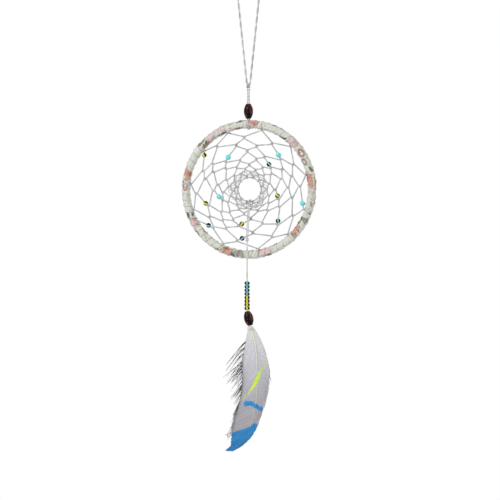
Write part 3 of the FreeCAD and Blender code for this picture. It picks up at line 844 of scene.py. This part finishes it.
def add_hoop_cloth(finish):
    """One strip of printed cotton wound round the ring, each turn lapped over the one before."""
    random = np.random.default_rng(11)
    winding = np.linspace(0, CLOTH_TURNS, CLOTH_TURNS * CLOTH_STEPS + 1)[:, None]
    share = np.linspace(0, 1, CLOTH_COLUMNS)[None, :] ** 1.15
    turn_marks = np.arange(CLOTH_TURNS + 1)
    wander = np.interp(winding, turn_marks, random.normal(0, CLOTH_WANDER, CLOTH_TURNS + 1))
    swell = np.interp(winding, turn_marks, random.normal(*CLOTH_SWELL, CLOTH_TURNS + 1)) * MM
    phase = np.interp(winding, turn_marks, random.uniform(0, 9, CLOTH_TURNS + 1))
    tube_angle = (winding * FULL_TURN) + math.pi
    hoop_angle = winding * FULL_TURN / CLOTH_TURNS + (share * CLOTH_WIDTH + wander) / RING_RADIUS
    radius = WRAP_RADIUS - CLOTH_LAP * np.minimum(share, 0.5) + swell * (1 - share)
    radius = radius - CLOTH_DIP * MM * fade(share, 0.07, 0) ** 2
    folds = np.sin(FULL_TURN * (share * 3.1 + phase) + 1.1 * np.sin(tube_angle + phase))
    creases = np.sin(tube_angle * 2 + share * 9 + phase * 3) * np.sin(share * 14 + phase * 5)
    radius = radius + (CLOTH_FOLD * folds + CLOTH_CREASE * creases) * MM * (1 - 0.6 * share)
    radius = radius + (CLOTH_LIP + 0.10 * creases) * MM * bell(share, 0.10, 0.05)
    radius = radius + CLOTH_SHIFT * np.sin(tube_angle)
    points = []
    for depth in (0.0, CLOTH_THICKNESS):
        reach = RING_RADIUS + (radius - depth) * np.sin(tube_angle)
        side = on_ring(hoop_angle, reach, -(radius - depth) * np.cos(tube_angle))
        points.append(side.reshape(-1, 3) + HOOP_CENTRE)

    rows, columns = len(winding), CLOTH_COLUMNS
    shift = rows * columns
    outer = np.array(grid_faces(rows, columns, False, False))
    numbers = np.arange(shift).reshape(rows, columns)
    rim = np.concatenate([numbers[0], numbers[1:, -1], numbers[-1, -2::-1], numbers[-2:0:-1, 0]])
    following = np.roll(rim, -1)
    border = np.stack([rim, rim + shift, following + shift, following], axis=1)
    faces = np.concatenate([outer, outer[:, ::-1] + shift, border])
    offset = np.interp(np.floor(winding), turn_marks, random.normal(0, 1.6, CLOTH_TURNS + 1))
    colours = print_colours(np.degrees(hoop_angle) + offset, np.degrees(tube_angle) + 0 * share,
                            random)
    # Painted light: the strip is darkened as a painted shadow just where the next turn laps over
    # it, and lightened as a painted highlight along its own edge
    lap_shadow_and_edge_highlight = 1 - 0.26 * bell(share, 0.45, 0.035) + 0.1 * bell(share, 0, 0.03)
    colours = (colours * lap_shadow_and_edge_highlight[..., None]).reshape(-1, 3)
    weave = np.broadcast_arrays(winding * WEAVE_PER_TURN, share * CLOTH_WIDTH / MM, 0.0)
    weave = np.stack(weave, axis=-1).reshape(-1, 3)
    shape = Shape().add(np.concatenate(points), faces.tolist(), print=np.tile(colours, (2, 1)),
                        weave=np.tile(weave, (2, 1)))
    cloth = shape.piece("hoop_cloth", "hoop", finish, "wrap", ["hoop_wrap"])


# ---------------------------------------------------------------- net

def around(centre, angle, radius):
    """A point in the hoop's plane, at a clockwise angle from the top about a centre."""
    return centre + on_ring(math.radians(angle), radius)


def net_knots():
    """Every knot of the net in tying order, as the CAD net has them."""
    start_radius = RING_RADIUS - WRAP_RADIUS - RIM_LOOP_GAP - THREAD_RADIUS
    last_radius = EYE_RADIUS + EYE_THICKNESS + THREAD_RADIUS
    knots = [around(HOOP_CENTRE, angle, start_radius) for angle in ANCHOR_ANGLES]
    for outer_round in OUTER_ROUNDS:
        knots += [around(HOOP_CENTRE, angle, radius * MM) for angle, radius in outer_round]
    for inner_round in INNER_ROUNDS:
        knots += [around(EYE_CENTRE, angle, radius * MM) for angle, radius in inner_round]
    return knots + [around(EYE_CENTRE, angle, last_radius) for angle in LAST_ROUND]


def knot_frame(knots, number):
    """The thread's way at a knot, the way outward, and the size of its hitch."""
    outward = unit(knots[number] - (HOOP_CENTRE if number < len(ANCHOR_ANGLES) else EYE_CENTRE))
    forward = np.cross(outward, FRONT)
    size = np.interp(number, HITCH_NUMBERS, HITCH_SIZES) * MM
    return forward, outward, size


def hitch_points(knots, number):
    """The thread's way round the hoop, or round the strand that a knot pulls in."""
    forward, outward, size = knot_frame(knots, number)
    here = knots[number]
    if number < len(ANCHOR_ANGLES):
        centre = here + outward * (WRAP_RADIUS + RIM_LOOP_GAP + THREAD_RADIUS)
        reach = WRAP_RADIUS - RIM_LOOP_SINK
        points = []
        for angle in np.linspace(-0.30, FULL_TURN + 0.30, 15):
            drift = (angle / FULL_TURN - 0.5) * 1.5 * MM
            points.append(centre - outward * reach * math.cos(angle)
                          + FRONT * reach * math.sin(angle) + forward * drift)
        return points
    low = 0.35 * MM
    lift = 0.6 * MM
    return [
        here - forward * size - outward * low,
        here - forward * 0.3 * size + outward * 0.3 * low + FRONT * lift,
        here + outward * 0.8 * MM,
        here + forward * 0.3 * size + outward * 0.3 * low - FRONT * lift,
        here + forward * size - outward * low,
    ]


def apex_points(knots, number):
    """The thread's flat turn where the next round pulls it towards the eye."""
    forward, outward, size = knot_frame(knots, number)
    here = knots[number]
    if number >= len(knots) - len(ANCHOR_ANGLES):
        ring = EYE_HITCH_REACH
        centre = here - outward * (EYE_THICKNESS + THREAD_RADIUS)
        return [
            here - forward * 0.8 * size + outward * 0.5 * MM,
            centre - forward * 0.4 * MM + FRONT * ring + outward * 0.6 * MM,
            centre - outward * ring + FRONT * 0.6 * MM,
            centre - outward * ring - FRONT * 0.6 * MM,
            centre + forward * 0.4 * MM - FRONT * ring + outward * 0.6 * MM,
            here + forward * 0.8 * size + outward * 0.5 * MM,
        ]
    lift = 0.2 * MM * outward
    return [here - forward * size * 0.9 + lift, here + lift, here + forward * size * 0.9 + lift]


def joints_where(key, value):
    """The joints of the frame in which a key has a value."""
    return [joint for joint in frame["joints"] if joint.get(key) == value]


def beads_on_thread():
    """The place, axis and reach of each bead of the net."""
    beads = []
    for joint in joints_where("continuous", True):
        low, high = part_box(joint["child"])
        axis = unit(np.array(joint["axis"], float))
        beads.append((np.array((low + high) / 2), axis, max(high - low) / 2))
    return beads


def leg_points(start, end, beads):
    """Points that keep a strand straight between two knots, and lead it through a bead on it."""
    leg = end - start
    length = np.linalg.norm(leg)
    way = leg / length
    lead = way * min(KNOT_LEAD, length * 0.25)
    points = [start + lead]
    for centre, axis, radius in beads:
        along = np.dot(centre - start, way)
        aside = np.linalg.norm(centre - start - way * along)
        if 0 < along < length and aside < 1.6 * MM and abs(np.dot(axis, way)) > 0.9:
            ahead = axis * np.sign(np.dot(axis, way))
            points += [centre - ahead * radius * share for share in (1.15, 0.5, -0.5, -1.15)]
    return points + [end - lead]


def add_net(thread):
    """The net as the one thread it is tied from, the loops round the eye, and the eye's ring."""
    knots = net_knots()
    beads = beads_on_thread()
    anchors = len(ANCHOR_ANGLES)
    controls = []
    for number in range(len(knots) - anchors):
        for stop in (hitch_points(knots, number), apex_points(knots, number + anchors)):
            if controls:
                controls += leg_points(controls[-1], stop[0], beads)
            controls += stop
    net = cord_shape(controls, THREAD_STEP, THREAD_LAY)
    chain = np.linspace(*np.radians(CHAIN_SPAN), CHAIN_POINTS)
    sway = chain * CHAIN_LOOPS
    bulge = MM * sum(0.5 * size * bell(np.degrees(chain), angle, spread)
                     for angle, size, spread in CHAIN_BULGES)
    reach = (EYE_RADIUS + 3.1 * MM + bulge + (1.8 * MM + bulge) * np.cos(sway)
             + 0.4 * MM * np.sin(chain * 9.3))
    ahead = chain + 1.5 * MM * np.sin(sway) / reach
    loops = EYE_CENTRE + on_ring(ahead, reach, 0.35 * MM * np.sin(sway * 0.5))
    rope_shape(evenly(loops, THREAD_STEP), CHAIN_LAY, False, net)
    net.piece("net_thread", "hoop", thread, "thread", ["web_thread", "web_rim_loops"])

    ring = EYE_CENTRE + on_ring(np.linspace(0, FULL_TURN, 241)[:-1], EYE_RADIUS)
    eye = rope_shape(ring, EYE_LAY, True, None, EYE_PLY_RADIUS)
    eye.piece("eye_ring_thread", "hoop", thread, "thread", ["web_eye_ring"])


# ---------------------------------------------------------------- beads

def add_beads(wood, turquoise):
    """Two oval wooden beads, twelve round beads of the net and the stack of small ones."""
    glass = {name: lined_glass(name, *look) for name, look in GLASSES.items()}
    oval = bead_section(11.7 * MM, 3.78 * MM, 2.1 * MM, 1.45 * MM, 0.35 * MM)
    add_bead("wood", "top_bead", (0, 0, 1), oval, wood, "dark_wood", 3)
    swing, rock = (Vector(joints_where("name", name)[0]["pos_m"])
                   for name in ("pendant_bead_swing", "feather_rock"))
    cord_line = swing - rock
    oval = bead_section(11.55 * MM, 3.78 * MM, 2.05 * MM, 1.4 * MM, 0.35 * MM)
    low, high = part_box("pendant_bead")
    centre = np.array((low + high) / 2 + cord_line.normalized() * PENDANT_BEAD_RISE)
    add_bead("wood", "pendant_bead", cord_line, oval, wood, "dark_wood", 5, centre)

    round_glass = bead_section(3.7 * MM, 1.98 * MM, 0.95 * MM, 0.62 * MM, 0.12 * MM)
    round_stone = bead_section(4.1 * MM, 2.17 * MM, 1.0 * MM, 0.62 * MM, 0.12 * MM)
    looks = {"yellow": (round_glass, glass["yellow_glass"], "yellow_glass"),
             "teal": (round_glass, glass["teal_glass"], "teal_glass"),
             "turquoise": (round_stone, turquoise, "turquoise")}
    for number, joint in enumerate(joints_where("continuous", True)):
        node = joint["child"]
        add_bead("glass", node, joint["axis"], *looks[node.split("_")[0]], 20 + number)

    for number in range(1, 9):
        end, finish, slot = ((1.55 * MM, "lagoon_glass", "teal_glass") if number <= 4
                             else (1.8 * MM, "olive_glass", "yellow_glass"))
        section = bead_section(2.78 * MM, 2.22 * MM, end, 0.85 * MM, 0.35 * MM)
        lean = (0.03 * math.sin(number * 2.1), 0.03 * math.cos(number * 1.7), 1)
        add_bead("glass", f"seed_bead_{number}", lean, section, glass[finish], slot, 40 + number)


# ---------------------------------------------------------------- feather

# Depth below the peg, then left edge, rachis and right edge across the feather, in millimetres
FEATHER = np.array([
    (275.3, 0.0, 2.5, 4.9), (279.4, -0.4, 3.9, 7.4), (282.3, -1.0, 4.9, 9.1),
    (294.8, -3.4, 7.4, 14.7), (303.5, -4.9, 8.0, 17.1), (315.7, -5.0, 8.4, 18.6),
    (325.7, -5.4, 8.1, 17.5), (337.1, -7.4, 7.0, 14.7), (347.4, -10.9, 4.8, 11.0),
    (357.7, -13.6, 1.2, 6.9), (365.7, -13.8, -3.4, 1.0), (370.8, -14.6, -8.0, -5.0),
    (374.3, -18.9, -12.0, -11.2),
])
FEATHER_TOP = 275.3
FEATHER_LENGTH = 99.0
FEATHER_Y = -4.3
# Vanes: side, column of their edge above, seed, how often their barbs part, how close they keep
VANES = {"left": (-1, 1, 7, 0.10, 1.0), "right": (1, 3, 8, 0.06, 0.6)}
BARBS = 300
BARB_STEPS = 22
BARB_LEAN = 0.40               # how far down a barb reaches, as a share of what is below its root
BARB_LEAN_FULL = 0.16          # the place on the feather from which the barbs lean that far
BARB_BEND = np.array([0.62, 1.0, 0.36])
BARB_CLING = (0.12, 0.42)      # least and most that the ends of a bundle's barbs close up
BARB_SPREAD = 0.012            # how much the barbs' lengths vary
BARB_SHORTFALL = 0.02          # how much shorter a barb is that ends away from its bundle
BARB_WIDTH = 0.68              # half a barb's width, as a share of the step to the next
BARB_RIDGE = 0.07              # in millimetres: half a barb's thickness, how far barbs and bundles
BARB_LIFT = 0.02               # stand off the vane, how far its edge curls back, and its wave
BUNDLE_LIFT = 0.05
VANE_CUP = 1.3
VANE_WAVE = 0.5
QUILL_SIDES = 10
HAIR_SIDES = 4
HAIR_STEPS = 9
GREEN_TRAIL = [(16.5, -301.7, 0.3), (13.5, -306.8, 0.6), (10.6, -311.4, 0.9)]
GREEN_STREAK = [(10.2, -311.6, 0.8), (9.0, -315.4, 1.35), (6.9, -319.3, 1.55), (5.1, -322.9, 1.15),
                (2.4, -326.6, 0.7), (0.9, -328.9, 0.2)]
GREEN_DASH = [(-1.7, -329.4, 0.5), (-2.8, -331.3, 0.6), (-3.8, -333.4, 0.4)]
BLUE_STRIPE = [(-0.9, -337.0, 2.0), (-0.2, -336.3, 2.0), (3.4, -336.5, 1.8), (7.8, -338.8, 1.6),
               (11.4, -341.0, 1.6)]
BLUE_BORDER = [(-14.5, -361.0), (-8.1, -358.3), (0.9, -355.3), (3.1, -354.0), (5.3, -352.3),
               (6.7, -351.8), (9.0, -353.6)]
BLUE_QUILL_DEPTH = 354.3
PAINT_GREEN = (207, 238, 62)
PAINT_BLUE = np.array((22, 141, 206), float)
DEEP_BLUE = np.array((8, 114, 178), float)
CREAM = (224, 221, 208)
DARK_EDGE = (92, 92, 97)
GREY_DEPTHS = (275, 284, 300, 325, 350, 375)
GREYS = [(222, 222, 218), (214, 214, 216), (203, 203, 208), (183, 182, 188), (168, 165, 169),
         (158, 156, 159)]
HORN_STOPS = (0, 0.2, 0.55, 1)
HORN = [(226, 222, 206), (214, 210, 198), (196, 192, 186), (186, 182, 178)]
# Loose barbs: depth and spread of their roots, count, fall in degrees, length, droop, thickness
LOOSE_BARBS = [
    (288.5, 5.0, 8, 53, 23.5, 1.7, 0.25), (297.0, 6.0, 7, 51, 17.5, 1.2, 0.22),
    (303.5, 7.0, 12, 45, 19.5, 0.9, 0.24), (310.0, 9.0, 14, 47, 16.5, 0.6, 0.22),
    (317.0, 12.0, 20, 53, 14.5, 0.4, 0.20), (328.0, 14.0, 20, 57, 11.0, 0.3, 0.19),
    (341.0, 20.0, 24, 60, 7.5, 0.2, 0.18),
]
# Single barbs that stand off the edges: start and end
STRAY_BARBS = [
    ((-13.9, -3.2, -359.6), (-16.4, -3.2, -362.0)), ((-16.2, -3.2, -361.8), (-18.3, -3.0, -361.6)),
    ((-16.2, -3.2, -361.8), (-16.6, -3.3, -364.0)), ((17.6, -3.0, -313.0), (19.4, -2.8, -319.0)),
]
STRAY_GREY = (104, 101, 108)


def smooth_between(at, stations, values):
    """A smooth curve through values at rising stations."""
    slopes = np.gradient(values, stations)
    number = np.clip(np.searchsorted(stations, at) - 1, 0, len(stations) - 2)
    gap = stations[number + 1] - stations[number]
    t = np.clip((at - stations[number]) / gap, 0, 1)
    start, end = values[number], values[number + 1]
    start_slope, end_slope = slopes[number] * gap, slopes[number + 1] * gap
    return ((2 * t ** 3 - 3 * t ** 2 + 1) * start + (t ** 3 - 2 * t ** 2 + t) * start_slope
            + (3 * t ** 2 - 2 * t ** 3) * end + (t ** 3 - t ** 2) * end_slope)


def feather_line(share, column):
    """A place on an edge (1 or 3) or on the rachis (2), from 0 at the quill to 1 at the tip."""
    depth = FEATHER_TOP + FEATHER_LENGTH * share
    across = smooth_between(depth, FEATHER[:, 0], FEATHER[:, column])
    return np.stack([across, np.full_like(across, FEATHER_Y), -depth], axis=-1)


def bow(start, bend, end, t):
    """Places along a curve from start to end that leaves and arrives in line with its bend."""
    return start * (1 - t) ** 2 + 2 * bend * t * (1 - t) + end * t ** 2


def stroke_cover(x, z, stroke, softness=0.35):
    """How much a brush stroke of changing width covers each place."""
    best = np.full(x.shape, -9.0)
    for (x1, z1, w1), (x2, z2, w2) in zip(stroke[:-1], stroke[1:]):
        length = math.hypot(x2 - x1, z2 - z1)
        along = np.clip(((x - x1) * (x2 - x1) + (z - z1) * (z2 - z1)) / length ** 2, 0, 1)
        away = np.hypot(x - x1 - along * (x2 - x1), z - z1 - along * (z2 - z1))
        best = np.maximum(best, w1 + (w2 - w1) * along - away)
    return fade(best, -softness / 2, softness / 2)


def feather_colours(points, outer, side, streaks):
    """The feather's greys and its painted marks. outer is 0 at the rachis and 1 at the edge."""
    x, z = points[..., 0], points[..., 2]
    depth = -z
    colour = graded(depth, GREY_DEPTHS, GREYS)
    cream = fade(depth, 290, 276) * (1 - 0.7 * outer)
    colour = laid_over(colour, CREAM, cream * 0.8)
    colour = colour * (1 + 0.022 * streaks[..., None])
    if side < 0:
        rim = fade(outer, 0.72, 1) ** 1.4 * fade(depth, 284, 292) * 0.95
    else:
        rim = fade(outer, 0.9, 1) * fade(depth, 298, 306) * 0.85
    colour = laid_over(colour, DARK_EDGE, rim)
    jitter = streaks * 0.3
    green = np.maximum(stroke_cover(x + jitter, z, GREEN_STREAK),
                       np.maximum(stroke_cover(x + jitter, z, GREEN_TRAIL, 0.8) * 0.6,
                                  stroke_cover(x + jitter, z, GREEN_DASH, 0.6) * 0.55))
    colour = laid_over(colour, PAINT_GREEN, green)
    stripe = stroke_cover(x, z + jitter, BLUE_STRIPE)
    border = np.array(BLUE_BORDER)
    below = np.interp(x, border[:, 0], border[:, 1]) - z - jitter
    tip = fade(below, -0.175, 0.175) * (z < -350)
    wet = fade(depth, 352, 372)
    pool = np.sin(x * 1.3 + 0.7) * np.sin(z * 0.9 + x * 0.5)
    blue = laid_over(PAINT_BLUE, DEEP_BLUE, wet) * (1 + 0.04 * streaks + 0.07 * pool)[..., None]
    colour = laid_over(colour, blue, np.maximum(stripe, tip) * 0.96)
    return linear(np.clip(colour, 0, 255))


def vane_shape(side, column, seed, parting, closeness):
    """One vane as its barbs: each leaves the rachis, bends down the feather and meets the edge."""
    random = np.random.default_rng(seed)
    share = np.linspace(0, 1, BARBS)
    lean = fade(share, 0, BARB_LEAN_FULL)
    lean = lean * lean * (3 - 2 * lean)
    ends = share + (0.004 + BARB_LEAN * lean) * (1 - share) ** 1.15
    bundle = np.cumsum(random.random(BARBS) < parting)
    middles = np.array([ends[bundle == number].mean() for number in bundle])
    pull = random.uniform(*BARB_CLING, BARBS)[bundle % BARBS] * closeness
    root = feather_line(share, 2)
    t = np.linspace(0, 1, BARB_STEPS)[None, :, None]
    gathered = ends[:, None] + (middles - ends)[:, None] * pull[:, None] * t[:, :, 0] ** 3
    length = random.normal(0, BARB_SPREAD, BARBS)
    length = length - BARB_SHORTFALL * (np.abs(ends - middles) > 0.01)
    edge = feather_line(np.clip(ends, 0, 1), column)
    bend = root + (edge - root) * BARB_BEND
    barbs = bow(root[:, None, :], bend[:, None, :], edge[:, None, :], t)
    moved = feather_line(np.clip(gathered, 0, 1), column) - edge[:, None, :]
    barbs = barbs + moved * t ** 3
    barbs = barbs + (edge - root)[:, None, :] * length[:, None, None] * t ** 2
    outer = t[:, :, 0] + 0 * share[:, None]
    barbs[:, :, 1] += VANE_CUP * outer ** 2 + BUNDLE_LIFT * np.sin(bundle * 2.4)[:, None] * outer
    barbs[:, :, 1] += random.normal(0, BARB_LIFT, BARBS)[:, None]
    barbs[:, :, 1] += VANE_WAVE * np.sin(share * 5 + 0.6)[:, None] * outer
    streaks = (random.normal(0, 1, BARBS) * 0.6 + np.sin(bundle * 1.9) * 0.7)[:, None] + 0 * outer
    colours = feather_colours(barbs, outer, side, streaks)
    gap = np.gradient(barbs, axis=0)
    taper = np.clip((1.02 - outer) / 0.10, 0.12, 1)[..., None]
    across = gap * BARB_WIDTH * taper
    ridge = np.array([0, -BARB_RIDGE, 0]) * taper
    ring = np.stack([barbs - across, barbs + ridge, barbs + across, barbs - ridge], axis=2)
    if side < 0:
        ring = ring[:, :, ::-1]
    shape = Shape()
    for number in range(BARBS):
        faces = grid_faces(BARB_STEPS, 4)
        faces.append([3, 2, 1, 0])
        faces.append(list(range(4 * BARB_STEPS - 4, 4 * BARB_STEPS)))
        shape.add(ring[number].reshape(-1, 3) * MM, faces, print=colours[number].repeat(4, axis=0))
    return shape


def hair(start, direction, length, droop, radius, wave, random):
    """Points and faces of a loose barb that tapers, from measures in millimetres."""
    t = np.linspace(0, 1, HAIR_STEPS)[:, None]
    end = start + direction * length
    bend = (start + end) / 2 + np.array([0, 0, droop])
    curl = np.sin(t * random.uniform(3, 7) + random.uniform(0, 6)) * wave * t
    path = bow(start, bend, end, t) + curl * np.array([0.4, 1.0, 0.3])
    return tube(path * MM, radius * (1 - 0.5 * t[:, 0]) * MM, HAIR_SIDES)


def loose_barbs():
    """The dark loose barbs of the left edge: a few long ones high up, and shorter ones below."""
    random = np.random.default_rng(29)
    shape = Shape()
    for depth, spread, count, fall, length, droop, thick in LOOSE_BARBS:
        for number in range(count):
            share = (depth - FEATHER_TOP + spread * random.uniform(-0.3, 1.0)) / FEATHER_LENGTH
            start = feather_line(np.array([share]), 1)[0] + np.array([0.5, 1.2, 0.0])
            angle = math.radians(fall + random.normal(0, 4))
            direction = np.array([-math.cos(angle), random.normal(0, 0.09), -math.sin(angle)])
            size = length * random.uniform(0.35, 1.05)
            thickness = thick * random.uniform(0.7, 1.1)
            points, faces = hair(start, direction, size, droop, thickness, 0.3, random)
            grey = random.uniform(46, 88)
            shades = np.repeat(np.linspace(grey, grey + 30, HAIR_STEPS), HAIR_SIDES)[:, None]
            shape.add(points, faces, print=linear(shades + (0, 0, 3)))
    for start, end in STRAY_BARBS:
        reach = np.array(end) - np.array(start)
        size = float(np.linalg.norm(reach))
        points, faces = hair(np.array(start), reach / size, size, 0.1, 0.3, 0.1, random)
        shape.add(points, faces, print=linear(STRAY_GREY))
    return shape


def add_feather(vane, horn, loose, thread):
    """The feather: two vanes, quill and its binding, loose barbs, and the cord inside the bead."""
    for name, make in VANES.items():
        shape = vane_shape(*make)
        shape.piece(f"vane_{name}_barbs", "feather", vane, "vane", [f"feather_vane_{name}"])
    share = np.linspace(0, 0.985, 150)
    path = feather_line(share, 2)
    path[:, 1] -= 0.12
    colour = graded(share, HORN_STOPS, HORN)
    x, z = path[:, 0], path[:, 2]
    marks = [(stroke_cover(x, z, GREEN_STREAK), PAINT_GREEN),
             (stroke_cover(x, z, BLUE_STRIPE), (34, 142, 204)),
             (fade(-z, BLUE_QUILL_DEPTH, BLUE_QUILL_DEPTH + 1), (26, 130, 192))]
    for mark, ink in marks:
        colour = laid_over(colour, ink, mark * 0.95)
    points, faces = tube(path * MM, (0.92 - 0.66 * share ** 0.6) * MM, QUILL_SIDES)
    shape = Shape().add(points, faces, print=np.repeat(linear(colour), QUILL_SIDES, axis=0))
    shape.piece("quill_horn", "feather", horn, "quill", ["feather_quill"])
    low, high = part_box("quill_tie")
    coil = helix((low + high) / 2, 1.1 * MM, 0.5, 4, 1.5 * MM, "Z")
    binding = cord_shape(coil, 0.25 * MM, (0.24 * MM, 2, 1.4 * MM, 5))
    binding.piece("quill_binding", "feather", thread, "cord", ["quill_tie"])
    loose_barbs().piece("loose_barbs", "feather", loose, "barbs", ["feather_barbs"])
    low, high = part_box("pendant_bead_cord")
    inside = [(low.x + CORD_RADIUS, PENDANT_Y, high.z), tuple((low + high) / 2),
              (high.x - CORD_RADIUS, PENDANT_Y, low.z)]
    cord = cord_shape(inside, 0.35 * MM, PENDANT_LAY)
    cord.piece("pendant_bead_cord_strand", "pendant_bead", thread, "cord", ["pendant_bead_cord"])


def main():
    add_camera()
    cord = cotton("white_cord", paint(222, 222, 221), paint(172, 172, 172), 2600.0)
    grey_cord = cotton("grey_cord", paint(212, 212, 213), paint(160, 160, 163), 2200.0)
    thread = cotton("grey_thread", paint(219, 219, 219), paint(154, 154, 156), 3400.0)
    add_hanging_cords(cord, grey_cord)
    add_pendant_cords(cord, thread)
    add_studio()
    add_hoop_cloth(printed_cotton())
    add_net(thread)
    add_beads(polished_wood(), opaque_stone())
    add_feather(feather_finish("feather_vane", 0.62), feather_finish("quill_horn", 0.42),
                feather_finish("loose_barb", 0.7), cord)
    core = frame["nodes"]["hoop_core"]
    core.data.materials.clear()
    core.data.materials.append(steel())


main()
